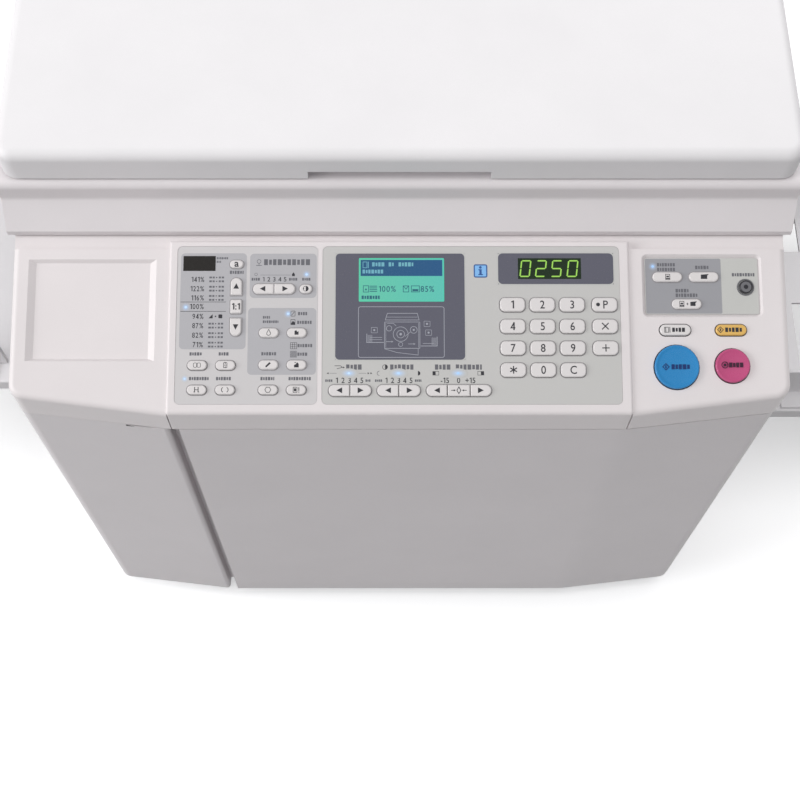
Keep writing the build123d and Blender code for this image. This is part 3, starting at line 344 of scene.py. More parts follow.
def addBump(tree, shader, height, strength, distanceMm):
    node = addNode(tree, "ShaderNodeBump", {"Strength": strength, "Distance": distanceMm / 1000})
    feed(tree, height, node, "Height")
    feed(tree, node.outputs["Normal"], shader, "Normal")


def scaled(colour, factor):
    return tuple(min(1.0, c * factor) for c in colour)


def moulded(name, colour, rough=0.45, roughSpread=0.07, grain=0.7, bump=0.18, spread=0.025, patch=90,
            coat=0.0, glow=0.0):
    # Moulded or printed surface: broad tone changes, fine texture in the gloss and in the relief
    material, tree, shader, coords = startMaterial(name)
    base = linear(colour)
    fine, broad = noiseOf(tree, coords, grain, 2), noiseOf(tree, coords, patch, 5, 0.6)
    tone = mixColour(tree, ramp(tree, broad, 0, 1), scaled(base, 1 - spread), scaled(base, 1 + spread))
    speck = mixColour(tree, ramp(tree, fine, 0, 0.6), tone, scaled(base, 1 - 1.6 * spread))
    feed(tree, speck, shader, "Base Color")
    feed(tree, ramp(tree, fine, rough - roughSpread, rough + roughSpread), shader, "Roughness")
    addBump(tree, shader, fine, bump, grain * 0.12)
    shader.inputs["Coat Weight"].default_value = coat
    shader.inputs["Coat Roughness"].default_value = 0.08
    if glow:
        feed(tree, speck, shader, "Emission Color")
        shader.inputs["Emission Strength"].default_value = glow
    return material


def lit(name, colour, second, strength=0.85, cell=0.45, across=(-0.032, 0.035)):
    # A lamp or backlit area: a fine cell pattern and a drift to a second tone, left to right
    material, tree, shader, coords = startMaterial(name)
    split = addNode(tree, "ShaderNodeSeparateXYZ")
    feed(tree, coords, split, "Vector")
    drift = ramp(tree, split.outputs["X"], 0, 1, *across)
    tone = mixColour(tree, drift, linear(colour), linear(second))
    cells = noiseOf(tree, coords, cell, 1)
    shown = mixColour(tree, ramp(tree, cells, 0, 0.25), tone, scaled(linear(colour), 0.8))
    feed(tree, shown, shader, "Emission Color")
    shader.inputs["Emission Strength"].default_value = strength
    shader.inputs["Base Color"].default_value = (*scaled(linear(colour), 0.18), 1)
    feed(tree, ramp(tree, cells, 0.2, 0.3), shader, "Roughness")
    return material


def metal(name, colour, rough=0.32, stretch=(1, 1, 26), grain=1.2, bump=0.12):
    # Sheet or turned steel with the fine lines of rolling or grinding
    material, tree, shader, coords = startMaterial(name)
    mapping = addNode(tree, "ShaderNodeMapping", {"Scale": stretch})
    feed(tree, coords, mapping, "Vector")
    lines = noiseOf(tree, mapping.outputs["Vector"], grain * 8, 4)
    broad = noiseOf(tree, coords, 45, 4)
    base = linear(colour)
    tone = mixColour(tree, ramp(tree, lines, 0, 1), scaled(base, 0.9), scaled(base, 1.06))
    cloud = mixColour(tree, ramp(tree, broad, 0, 0.5), tone, scaled(base, 0.85))
    feed(tree, cloud, shader, "Base Color")
    shader.inputs["Metallic"].default_value = 0.9
    feed(tree, ramp(tree, lines, rough - 0.06, rough + 0.1), shader, "Roughness")
    addBump(tree, shader, lines, bump, 0.05)
    return material


finishes = {
    "housing": moulded("housingPlastic", (226, 221, 223), rough=0.5, grain=0.55, bump=0.22),
    "deck": moulded("deckPlastic", (227, 221, 222), rough=0.42, grain=0.5, bump=0.14),
    "scanner": moulded("scannerPlastic", (230, 225, 227), rough=0.5, grain=0.55, bump=0.2),
    "lid": moulded("lidPlastic", (238, 236, 238), rough=0.5, grain=0.6, bump=0.22),
    "tray": moulded("trayPlastic", (220, 218, 220), rough=0.5, grain=0.6, bump=0.25),
    "key": moulded("keyPlastic", (222, 218, 218), rough=0.36, grain=0.35, bump=0.08, patch=40),
    "dark": moulded("darkPlastic", (46, 46, 51), rough=0.4, grain=0.5, bump=0.2, spread=0.08),
    "box": moulded("boxPlastic", (190, 188, 192), rough=0.5, grain=0.6, bump=0.25),
    "carrier": moulded("carrierPlastic", (118, 126, 124), rough=0.42, grain=0.6, bump=0.22, spread=0.05),
    "cartridge": moulded("cartridgePlastic", (52, 52, 58), rough=0.38, grain=0.6, bump=0.2, spread=0.08),
    "rubber": moulded("footRubber", (40, 40, 40), rough=0.75, roughSpread=0.1, grain=1.1, bump=0.5, spread=0.12),
    "roller": moulded("rollerRubber", (58, 58, 60), rough=0.68, roughSpread=0.1, grain=0.8, bump=0.45, spread=0.1),
    "pad": moulded("padSheet", (243, 242, 239), rough=0.6, grain=1.6, bump=0.3, spread=0.012, patch=120),
    "steel": metal("zincSheet", (196, 198, 201)),
    "pin": metal("groundPin", (186, 187, 190), rough=0.25, stretch=(26, 26, 1)),
    "ink": moulded("greyInk", (56, 56, 61), rough=0.5, grain=0.4, bump=0.05, spread=0.06, patch=20),
    "paleInk": moulded("paleInk", (108, 108, 114), rough=0.5, grain=0.4, bump=0.05, spread=0.05, patch=20),
    "whiteInk": moulded("whiteInk", (168, 170, 180), rough=0.4, grain=0.4, bump=0.05, spread=0.04, patch=20),
    "zone": moulded("zoneFilm", (180, 179, 183), rough=0.42, grain=0.8, bump=0.06, spread=0.015),
    "darkZone": moulded("modeFilm", (157, 157, 162), rough=0.42, grain=0.8, bump=0.06, spread=0.015),
    "midZone": moulded("wakeFilm", (197, 197, 194), rough=0.42, grain=0.8, bump=0.06, spread=0.02),
    "edgeFilm": moulded("edgeFilm", (193, 193, 191), rough=0.38, grain=0.8, bump=0.06, spread=0.015),
    "slate": moulded("slateWindow", (94, 94, 107), rough=0.24, roughSpread=0.04, grain=0.9, bump=0.02,
                     spread=0.03, coat=0.2),
    "black": moulded("blackWindow", (36, 33, 31), rough=0.2, roughSpread=0.04, grain=0.9, bump=0.02,
                     spread=0.06, coat=0.2),
    "amber": moulded("amberKey", (226, 182, 100), rough=0.34, grain=0.4, bump=0.08, spread=0.03, patch=30),
    "blue": moulded("blueKey", (38, 134, 196), rough=0.28, grain=0.4, bump=0.06, spread=0.05, patch=26, coat=0.3),
    "pink": moulded("pinkKey", (192, 78, 126), rough=0.3, grain=0.4, bump=0.06, spread=0.05, patch=22, coat=0.3),
    "ledOn": lit("lampBlue", (196, 224, 255), (160, 204, 255), 0.95),
    "digits": lit("digitGreen", (158, 214, 92), (158, 214, 92), 0.9, 1.6),
    "digitBack": moulded("digitWindow", (22, 44, 20), rough=0.2, grain=0.9, bump=0.02, spread=0.15, coat=0.2),
    "screenTeal": lit("screenTeal", (104, 200, 172), (92, 196, 186), 0.8),
    "screenEdge": lit("screenEdge", (86, 206, 168), (78, 200, 178), 0.85),
    "screenBlue": lit("screenBlue", (46, 94, 132), (42, 92, 142), 0.75),
    "screenPale": lit("screenPale", (112, 176, 196), (120, 186, 190), 0.8),
    "screenInk": lit("screenInk", (52, 110, 128), (44, 98, 122), 0.7),
    "infoBlue": moulded("infoFill", (132, 186, 238), rough=0.3, grain=0.5, bump=0.04, spread=0.02),
    "navy": moulded("navyInk", (20, 50, 108), rough=0.35, grain=0.5, bump=0.04, spread=0.05),
    "plum": moulded("plumInk", (62, 30, 52), rough=0.35, grain=0.5, bump=0.04, spread=0.05),
    "infoLine": moulded("infoLine", (50, 88, 150), rough=0.35, grain=0.5, bump=0.04, spread=0.05),
    # painted shade: the colour of the darker rings round the keys, standing for the shade in their gaps
    "seam": moulded("paintedSeamShade", (150, 147, 149), rough=0.5, grain=0.4, bump=0.05, spread=0.04, patch=20),
    "marble": moulded("keyRing", (112, 112, 116), rough=0.32, grain=0.4, bump=0.06, spread=0.05),
}


def sheetMaterial():
    # The left sheet is a little lighter than the middle one, and the right one sits between
    material, tree, shader, coords = startMaterial("printedSheet")
    split = addNode(tree, "ShaderNodeSeparateXYZ")
    feed(tree, coords, split, "Vector")
    across = ramp(tree, split.outputs["X"], 0, 1, -0.0625, -0.0615)
    fine, broad = noiseOf(tree, coords, 0.8, 2), noiseOf(tree, coords, 70, 4)
    tone = mixColour(tree, across, linear((206, 203, 204)), linear((196, 195, 193)))
    shown = mixColour(tree, ramp(tree, broad, 0, 0.3), tone, linear((199, 197, 198)))
    feed(tree, shown, shader, "Base Color")
    feed(tree, ramp(tree, fine, 0.34, 0.44), shader, "Roughness")
    addBump(tree, shader, fine, 0.06, 0.05)
    return material


def drumMaterial():
    # A fine woven screen: threads around the drum and along it
    axis = {"x": 0.020, "z": 0.375, "radius": 0.090}
    material, tree, shader, coords = startMaterial("drumScreen")
    split = addNode(tree, "ShaderNodeSeparateXYZ")
    feed(tree, coords, split, "Vector")

    def math2(operation, first, second):
        node = addNode(tree, "ShaderNodeMath", operation=operation)
        for socket, value in zip(node.inputs, (first, second)):
            if hasattr(value, "is_output"):
                tree.links.new(value, socket)
            else:
                socket.default_value = value
        return node.outputs[0]

    threads = []
    turn = math2("ARCTAN2", math2("SUBTRACT", split.outputs["Z"], axis["z"]),
                 math2("SUBTRACT", split.outputs["X"], axis["x"]))
    for source, count in ((turn, 560.0), (split.outputs["Y"], 6200.0)):
        threads.append(math2("SINE", math2("MULTIPLY", source, count), 0.0))
    weave = ramp(tree, math2("MULTIPLY", threads[0], threads[1]), 0, 1, -1, 1)
    base = linear((150, 152, 158))
    stain = ramp(tree, noiseOf(tree, coords, 60, 4), 0, 0.5)
    tone = mixColour(tree, weave, scaled(base, 0.55), scaled(base, 1.1))
    feed(tree, mixColour(tree, stain, tone, linear((92, 94, 102))), shader, "Base Color")
    shader.inputs["Metallic"].default_value = 0.6
    feed(tree, ramp(tree, weave, 0.45, 0.3, 0, 1), shader, "Roughness")
    addBump(tree, shader, weave, 0.35, 0.1)
    return material


def glassMaterial():
    material, tree, shader, coords = startMaterial("stageGlass")
    smear = noiseOf(tree, coords, 60, 4)
    tint = mixColour(tree, ramp(tree, smear, 0, 1), linear((214, 228, 226)), linear((224, 235, 233)))
    feed(tree, tint, shader, "Base Color")
    feed(tree, ramp(tree, smear, 0.02, 0.06), shader, "Roughness")
    shader.inputs["Transmission Weight"].default_value = 0.85
    shader.inputs["IOR"].default_value = 1.45
    return material


def filmMaterial():
    # The wound roll of master film: thin layers show as lines on its ends
    material, tree, shader, coords = startMaterial("masterFilm")
    mapping = addNode(tree, "ShaderNodeMapping", {"Scale": (1, 0.04, 1)})
    feed(tree, coords, mapping, "Vector")
    layers = noiseOf(tree, mapping.outputs["Vector"], 1.2, 3)
    base = linear((232, 230, 220))
    feed(tree, mixColour(tree, ramp(tree, layers, 0, 1), scaled(base, 0.93), base), shader, "Base Color")
    feed(tree, ramp(tree, layers, 0.42, 0.55), shader, "Roughness")
    addBump(tree, shader, layers, 0.12, 0.1)
    return material


finishes["sheet"] = sheetMaterial()
finishes["drum"] = drumMaterial()
finishes["glass"] = glassMaterial()
finishes["film"] = filmMaterial()

nodeFinish = {
    "housing": ("left_side_cover", "right_side_cover", "rear_cover", "front_left_cover", "front_door"),
    "deck": ("deck_left", "deck_centre", "deck_right"),
    "sheet": ("panel_sheets",),
    "slate": ("displays",),
    "scanner": ("scanner_housing",),
    "lid": ("stage_cover",),
    "pad": ("pressure_pad",),
    "glass": ("stage_glass",),
    "steel": ("base_pan", "frame_plates", "feed_lift"),
    "pin": ("hinge_hardware",),
    "rubber": ("feet",),
    "roller": ("press_roller", "pickup_roller"),
    "drum": ("print_drum",),
    "carrier": ("drum_frame",),
    "cartridge": ("ink_cartridge",),
    "film": ("master_roll",),
    "dark": ("mains_inlet", "power_switch", "scan_carriage", "wake_key"),
    "tray": ("feed_tray", "receive_tray", "feed_guide_front", "feed_guide_rear", "receive_guide_front",
             "receive_guide_rear", "end_stopper"),
    "box": ("disposal_box",),
    "amber": ("reset_key",),
    "blue": ("start_key",),
    "pink": ("stop_key",),
}
# Edge softening in mm for the nodes that have sharp moulded edges; the decks and keys have CAD fillets
softEdges = {
    "front_door": 0.9, "front_left_cover": 0.9, "left_side_cover": 0.5, "right_side_cover": 0.5,
    "rear_cover": 0.5, "scanner_housing": 1.0, "feed_tray": 0.5, "receive_tray": 0.5,
    "disposal_box": 0.5, "base_pan": 0.4, "end_stopper": 0.4,
    "feed_guide_front": 0.4, "feed_guide_rear": 0.4, "receive_guide_front": 0.4, "receive_guide_rear": 0.4,
}


def dressNode(name, material, edge):
    node = nodes[name]
    node.data.materials.clear()
    node.data.materials.append(material)
    if edge:
        weld = node.modifiers.new("join", "WELD")
        weld.merge_threshold = 0.00001
        soft = node.modifiers.new("edge", "BEVEL")
        soft.width = edge / 1000
        soft.segments = 2
        soft.limit_method = "ANGLE"
        soft.angle_limit = math.radians(50)
        soft.use_clamp_overlap = True
        shade = node.modifiers.new("shade", "WEIGHTED_NORMAL")   # keeps flat faces flat
        shade.keep_sharp = True
        shade.weight = 80


finishOf = {name: key for key, names in nodeFinish.items() for name in names}
for name in nodes:
    dressNode(name, finishes[finishOf.get(name, "key")], softEdges.get(name, 0))
print("duplicator: nodes dressed in", len(finishes), "finishes")


# Printed zones and marks of the left sheet
leftSheet = {
    "zones": ((-171.8, -120.0, 51.0, 128.0), (-117.4, -65.0, 92.0, 127.7), (-118.3, -65.0, 30.8, 83.9)),
    "zoneRound": 3.2,
    "rates": (("141%", 106.9), ("122%", 99.4), ("116%", 92.0), ("100%", 85.1), ("94%", 77.2), ("87%", 69.8),
              ("82%", 62.2), ("71%", 54.7)),
    "rateRight": -153.2, "rateHeight": 4.1,
    "numbers": (-106.6, -102.5, -98.2, -93.9, -89.7),
    "labels": (   # start, end, row, height
        (-143.7, -134.6, 124.0, 1.7), (-143.7, -140.4, 121.1, 1.7), (-133.2, -122.4, 112.6, 2.6),
        (-106.4, -69.7, 120.8, 4.8), (-116.0, -109.1, 107.0, 2.2), (-86.6, -79.4, 107.0, 2.2),
        (-76.3, -69.1, 107.0, 2.2), (-106.7, -101.2, 76.4, 2.1), (-106.7, -94.5, 72.9, 2.1),
        (-79.3, -72.2, 79.4, 2.6), (-79.9, -68.6, 72.4, 2.6), (-107.5, -95.6, 47.4, 2.6),
        (-79.4, -68.0, 53.9, 2.6), (-79.4, -71.8, 47.1, 2.6), (-163.4, -153.5, 47.3, 2.6),
        (-140.7, -132.7, 47.3, 2.6), (-163.4, -147.5, 27.8, 2.6), (-142.4, -129.7, 27.8, 2.6),
        (-107.9, -97.2, 27.8, 2.6), (-86.1, -67.8, 27.8, 2.6),
    ),
    "lamps": ((-167.2, 84.5), (-72.8, 110.9), (-87.0, 79.3), (-166.8, 27.6)),
}


# Signs of the left sheet that stand alone: kind of shape, then its numbers in mm
leftSheetMarks = {
    "ink": (
        ("slab", [(-84.3, 109.5), (-82.1, 109.5), (-82.1, 111.2), (-83.2, 112.6), (-84.3, 111.2)]),
        # image kinds: a lined page and a pictured page
        ("outline", -83.2, 79.4, 3.6, 4.4, 0.35, 0.6),
        ("stroke", [(-84.3, 78.0), (-82.1, 80.8)], 0.4),
        ("outline", -83.2, 72.6, 3.6, 4.4, 0.35),
        ("slab", [(-84.8, 70.8), (-81.6, 70.8), (-81.8, 72.4), (-83.2, 73.6), (-84.4, 72.0)]),
    ),
    "pale": (
        # scanning level: a page under a lens, and marks at both ends of the scale
        ("ring", -110.4, 121.4, 1.7, 0.4),
        ("bar", -110.4, 118.2, 4.4, 0.5),
        ("bar", -110.4, 119.3, 0.5, 1.6),
        ("ring", -112.6, 110.9, 1.2, 0.3),
        ("bar", -97.4, 110.4, 24.0, 0.25),
    ),
}


def drawLeftSheet():
    surface = sheetTop
    film = newArt(surface, thick["film"])
    for left, right, low, high in leftSheet["zones"]:
        zoneOf(film, left, right, low, high, leftSheet["zoneRound"])
    makeArt(film, "left_zone_films", "zone")
    ink = newArt(surface + 0.03, thick["film"])
    pale = newArt(surface + 0.03, thick["film"])
    for text, row in leftSheet["rates"]:
        letters(ink, text, leftSheet["rateRight"], row, leftSheet["rateHeight"], "right", thin=0.8)
        if text == "100%":
            continue
        if text == "94%":
            slab(ink, [(-149.2, row - 1.6), (-146.0, row - 1.6), (-146.0, row + 1.7), (-147.2, row + 0.6)])
            dot(ink, -143.8, row, 0.6)
            bar(ink, -140.0, row, 3.0, 3.1, 0.6)
            continue
        for lift, way in ((1.55, 0), (-1.55, 180)):
            for at, width in ((-148.2, 2.0), (-145.8, 1.6), (-141.0, 1.6), (-138.6, 1.8)):
                bar(pale, at, row + lift, width, 1.5)
            arrowHead(ink, -143.5, row + lift, 0.75, way)
    for row in (88.7, 81.2):
        bar(ink, -153.6, row, 35.6, 0.35)
    for start, end, row, height in leftSheet["labels"]:
        wordBars(pale, start, end, row, height)
    for number, at in enumerate(leftSheet["numbers"], 1):
        letters(ink, str(number), at, 107.0, 3.5)
    # coarse and fine screens
    for row, step in ((53.8, 1.25), (47.1, 0.8)):
        count = int(4.9 / step)
        for k in range(count + 1):
            place = -2.45 + k * 4.9 / count
            bar(ink if step > 1 else pale, -82.5 + place, row, 0.28, 5.0)
            bar(ink if step > 1 else pale, -82.5, row + place, 5.0, 0.28)
    drawMarks(ink, leftSheetMarks["ink"])
    makeArt(ink, "left_sheet_marks", "ink")
    drawMarks(pale, leftSheetMarks["pale"])
    makeArt(pale, "left_sheet_labels", "paleInk")


# Painted shade round the keys: a darker ring stands for the shade in each key's gap to the sheet, as (middle u,
# middle v, width, height, corner)
paintedKeyShade = {
    "grow": 0.3, "line": 0.55,
    "left": [(-157.2, 38.1), (-135.2, 38.1), (-157.2, 18.7), (-135.2, 18.7), (-101.9, 63.9), (-80.0, 63.9),
             (-101.9, 38.4), (-80.0, 38.4), (-101.9, 18.7), (-80.0, 18.7)],
    "leftSize": (15.0, 7.2),
    "leftOthers": [(-127.8, 118.9, 10.4, 6.2, 3.1), (-98.2, 99.0, 32.8, 8.0, 4.0), (-73.3, 99.0, 9.6, 7.0, 3.5),
                   (-127.8, 84.8, 8.6, 10.9, 1.0)],
    "arches": [(-127.8, 100.9, 8.6, 13.8, 1), (-127.8, 68.4, 8.6, 14.0, -1)],
    "strips": [(-54.9, -21.8), (-17.3, 16.2), (20.9, 71.2)],
    "stripRow": (18.3, 8.9),
    "mode": [(211.0, 109.4), (239.7, 109.4), (225.6, 87.6)],
    "modeSize": (23.0, 7.7),
    "end": [(215.6, 66.5), (259.2, 66.5)],
    "endSize": (24.0, 8.6),
}


def seamRound(art, u, v, width, height, corner):
    low, high = paintedKeyShade["grow"], paintedKeyShade["grow"] + paintedKeyShade["line"]
    band(art, roundRect(u, v, width + 2 * high, height + 2 * high, corner + high, 7),
         roundRect(u, v, width + 2 * low, height + 2 * low, corner + low, 7))


def archPoints(u, v, width, height, up, grow):
    radius = width / 2
    middle = v + up * (height / 2 - radius)
    points = circle(u, middle, radius + grow, 16, 0 if up > 0 else 180, 180)
    foot = v - up * (height / 2 + grow)
    return points + [(points[-1][0], foot), (points[0][0], foot)]


# Darker rings round every key paint the shade in the gaps between the keys and the sheets
def drawSeams():
    low, high = paintedKeyShade["grow"], paintedKeyShade["grow"] + paintedKeyShade["line"]
    art = newArt(sheetTop + 0.04, thick["film"])
    for u, v in paintedKeyShade["left"]:
        seamRound(art, u, v, *paintedKeyShade["leftSize"], paintedKeyShade["leftSize"][1] / 2)
    for spec in paintedKeyShade["leftOthers"]:
        seamRound(art, *spec)
    for spec in paintedKeyShade["arches"]:
        band(art, archPoints(*spec, high), archPoints(*spec, low))
    row, height = paintedKeyShade["stripRow"]
    for left, right in paintedKeyShade["strips"]:
        seamRound(art, (left + right) / 2, row, right - left, height, height / 2)
    for u in (*keypad["columns"], keypad["side"]):
        for v in keypad["rows"][:3 if u == keypad["side"] else 4]:
            seamRound(art, u, v, *keypad["size"], keypad["corner"])
    makeArt(art, "key_painted_shade", "seam")
    art = newArt(modeTop + 0.04, thick["film"])
    for u, v in paintedKeyShade["mode"]:
        seamRound(art, u, v, *paintedKeyShade["modeSize"], paintedKeyShade["modeSize"][1] / 2)
    makeArt(art, "mode_key_painted_shade", "seam")
    # darker ink rings paint the shade round the proof, reset, start and stop keys
    art = newArt(level["deckEnd"] + level["lift"], thick["film"])
    for u, v in paintedKeyShade["end"]:
        seamRound(art, u, v, *paintedKeyShade["endSize"], paintedKeyShade["endSize"][1] / 2)
    for spec in bigKeys.values():
        u, v = spec["place"]
        ring(art, u, v, spec["radius"] + high, paintedKeyShade["line"])
    makeArt(art, "end_key_painted_shade", "ink")


# Marks on the left sheet's keys
leftKeys = {
    "arrows": ((-127.8, 100.6, 90), (-127.8, 68.9, 270), (-106.6, 99.0, 180), (-90.0, 99.0, 0)),
    "arrowSize": 2.7,
}


# Signs on the left keys
leftKeyMarks = {
    "ink": (
        ("letters", "a", -127.8, 119.6, 5.6, {"bold": 0.02}),
        ("letters", "1:1", -127.8, 84.8, 5.0, {"thin": 0.85, "bold": 0.02}),
        # automatic level: a half-dark disc
        ("ring", -73.3, 99.0, 2.2, 0.35),
        ("dot", -75.0, 99.0, 0.5),
        # two pages on one
        ("outline", -135.2, 38.1, 3.0, 4.6, 0.42, 0.8),
        ("bar", -135.2, 38.1, 1.7, 0.5),
        ("bar", -135.2, 39.5, 0.5, 0.9),
        ("bar", -135.2, 36.7, 0.5, 0.9),
        ("bar", -157.2, 18.7, 2.2, 0.5),
        # solid picture
        ("slab", [(-81.7, 62.2), (-78.6, 62.2), (-78.6, 65.0), (-79.6, 64.4), (-80.4, 65.8), (-81.7, 65.2)]),
        # pencil
        ("slab", [(-104.0, 36.4), (-103.0, 36.6), (-99.9, 39.6), (-101.0, 40.5), (-103.9, 37.5)]),
        # screened picture
        ("slab", [(-81.8, 36.3), (-78.2, 36.3), (-78.2, 39.0), (-79.4, 40.4), (-80.6, 38.8), (-81.8, 38.2)]),
        ("bar", -80.9, 40.1, 1.2, 0.5),
        # covered page
        ("outline", -80.8, 18.7, 3.4, 4.4, 0.42),
        ("bar", -80.8, 18.7, 1.8, 2.2),
        ("bar", -77.9, 19.3, 0.6, 2.8),
        ("dot", -77.9, 16.9, 0.4),
    ),
}


def drawLeftKeys():
    ink = newArt(level["key"] + level["lift"], thick["ink"])
    for u, v, way in leftKeys["arrows"]:
        arrowHead(ink, u, v, leftKeys["arrowSize"], way)
    slab(ink, circle(-73.3, 99.0, 1.9, 14, -90, 180))
    # open book
    for side in (-1, 1):
        outline(ink, -157.2 + side * 1.45, 38.1, 2.9, 3.8, 0.36, 0.9)
    # plug and socket
    for side in (-1, 1):
        bar(ink, -157.2 + side * 1.35, 18.9, 0.6, 4.0)
        bar(ink, -157.2 + side * 1.55, 17.0, 1.3, 0.6)
    # two brackets
    for side in (-1, 1):
        arc = circle(-135.2 + side * 0.5, 18.7, 2.1, 12, -62 if side > 0 else 118, 124)
        stroke(ink, arc, 0.5)
    # drop
    drop = [(-101.9, 66.4)] + circle(-101.9, 63.2, 1.5, 18, 35, -250)
    stroke(ink, drop, 0.42, closed=True)
    # hexagon
    stroke(ink, circle(-101.9, 18.7, 2.3, 6), 0.42, closed=True)
    drawMarks(ink, leftKeyMarks["ink"])
    makeArt(ink, "left_key_marks", "ink", body="left_panel_keys")


drawLeftSheet()
drawLeftKeys()

# Display windows: the film over the window's seam, then the window's own tinted film
windows = {
    "main": {"place": (-50.0, 51.2, 42.7, 127.8), "round": 3.2},
    "counter": {"place": (77.7, 168.3, 103.1, 128.0), "round": 3.6},
    "zoom": {"place": (-169.6, -144.8, 114.0, 125.5), "round": 0.3},
    "seam": 1.1,
}
mainScreen = {
    "edge": (-31.8, 35.2, 89.0, 124.1),
    "field": (-30.9, 34.3, 90.0, 123.2),
    "header": (-30.4, 33.8, 109.6, 122.6),
    "diagram": (-32.2, 35.2, 44.3, 85.1),
    "layers": (("edge", "screenEdge", 0.8), ("field", "screenTeal", 0.0), ("header", "screenBlue", 0.0)),
}
counter = {"place": (93.3, 142.9, 107.2, 124.0), "centres": (99.2, 111.4, 123.7, 136.2), "shown": "0250",
           "width": 7.2, "height": 12.6, "line": 1.05, "slant": 0.12}


def drawWindows():
    cover, seam = sheetTop, windows["seam"]
    film = newArt(cover, thick["light"])
    for key in ("main", "counter"):
        left, right, low, high = windows[key]["place"]
        zoneOf(film, left - seam, right + seam, low - seam, high + seam, windows[key]["round"] + seam)
    makeArt(film, "window_edge_films", "edgeFilm")
    slate = newArt(cover + 0.03, thick["film"])
    for key in ("main", "counter"):
        zoneOf(slate, *windows[key]["place"], windows[key]["round"])
    makeArt(slate, "window_films", "slate")
    black = newArt(cover + 0.06, thick["film"])
    left, right, low, high = windows["zoom"]["place"]
    zoneOf(black, left - 0.3, right + 0.3, low - 0.3, high + 0.3, windows["zoom"]["round"])
    makeArt(black, "zoom_window_film", "black")


# Signs on the main display
screenMarks = {
    "pale": (
        ("outline", -27.0, 118.6, 3.6, 5.2, 0.5),
        ("bar", -24.4, 118.6, 0.6, 5.2),
        ("wordBars", -28.9, -12.3, 113.2, 3.1),
    ),
    "ink": (
        ("outline", -26.2, 99.2, 4.6, 5.6, 0.5),
        ("arrowHead", -26.2, 98.8, 1.2, 90),
        ("letters", "100%", -9.4, 99.2, 4.6, {"thin": 0.9}),
        ("outline", 5.2, 99.2, 4.8, 5.4, 0.5),
        ("stroke", [(3.4, 101.4), (5.2, 99.0), (7.0, 101.4)], 0.5),
        ("outline", 12.6, 99.2, 6.8, 5.4, 0.5),
        ("bar", 12.6, 98.2, 4.6, 1.6),
        ("letters", "85%", 22.0, 99.2, 4.6, {"thin": 0.9}),
        ("wordBars", -29.6, -15.4, 92.4, 2.8),
    ),
}


def drawScreen():
    for layer, (part, finish, corner) in enumerate(mainScreen["layers"]):
        film = newArt(screenTop + layer * 0.03, thick["light"])
        zoneOf(film, *mainScreen[part], corner)
        makeArt(film, "screen_" + part, finish)
    pale = newArt(screenTop + 0.09, thick["light"])
    for start, end in ((-21.4, -11.0), (-8.4, -4.4), (-0.6, 11.0)):
        wordBars(pale, start, end, 119.0, 3.3)
    drawMarks(pale, screenMarks["pale"])
    makeArt(pale, "screen_header_marks", "screenPale")
    ink = newArt(screenTop + 0.09, thick["light"])
    for row in (97.2, 98.6, 100.0, 101.4):
        bar(ink, -20.4, row, 6.0, 0.6)
    drawMarks(ink, screenMarks["ink"])
    makeArt(ink, "screen_field_marks", "screenInk")


# A simple section through a machine with two trays, in thin light lines
diagramMarks = {
    "art": (
        ("outline", 2.2, 62.2, 28.0, 21.4, 0.42, 0.8),
        ("stroke", [(-11.0, 74.3), (-9.4, 79.6), (14.0, 79.6), (15.4, 74.3)], 0.42, {"closed": True}),
        ("bar", 2.2, 76.6, 24.0, 0.32),
        ("dot", 1.0, 63.0, 1.0),
        ("dot", 11.2, 66.4, 0.8),
        ("ring", 1.0, 54.8, 1.8, 0.36),
        ("stroke", [(4.2, 61.0), (8.6, 64.8)], 0.36),
        # trays
        ("stroke", [(-12.2, 56.4), (-25.4, 56.4), (-25.4, 63.4)], 0.5),
        ("stroke", [(-13.4, 58.6), (-23.2, 58.6)], 0.34),
        ("stroke", [(-13.4, 60.4), (-23.2, 60.4)], 0.34),
        ("stroke", [(16.6, 53.6), (29.4, 53.6), (29.4, 61.0)], 0.5),
        ("stroke", [(18.2, 55.6), (27.2, 55.6)], 0.34),
        ("bar", -10.6, 62.2, 0.3, 19.6),
        ("bar", 15.0, 62.2, 0.3, 19.6),
        ("stroke", [(-11.8, 51.4), (-2.0, 48.4), (14.6, 46.4), (14.6, 51.4)], 0.36),
        ("stroke", [(-9.6, 71.6), (-4.4, 71.6), (-2.6, 69.4)], 0.34),
        # paper path and places to look at
        ("arrow", -7.6, 57.0, 5.4, 0, 0.42),
        ("arrow", 9.6, 55.2, 5.4, 0, 0.42),
    ),
}


def drawDiagram():
    art = newArt(screenTop, thick["film"])
    left, right, low, high = mainScreen["diagram"]
    outline(art, (left + right) / 2, (low + high) / 2, right - left, high - low, 0.45, 1.8)
    for u, v, radius in ((1.0, 63.0, 6.0), (1.0, 63.0, 3.2), (11.2, 66.4, 2.9), (-8.0, 67.6, 2.3)):
        ring(art, u, v, radius, 0.4)
    for k in range(5):
        bar(art, -24.4 + k * 0.75, 59.6, 0.28, 5.6)
        bar(art, 28.4 - k * 0.75, 57.2, 0.28, 6.0)
    for u, v in ((-19.6, 66.2), (22.8, 64.2), (21.6, 71.2)):
        outline(art, u, v, 5.0, 4.6, 0.3, 0.5)
        dot(art, u, v, 0.8)
    drawMarks(art, diagramMarks["art"])
    makeArt(art, "diagram_lines", "whiteInk")


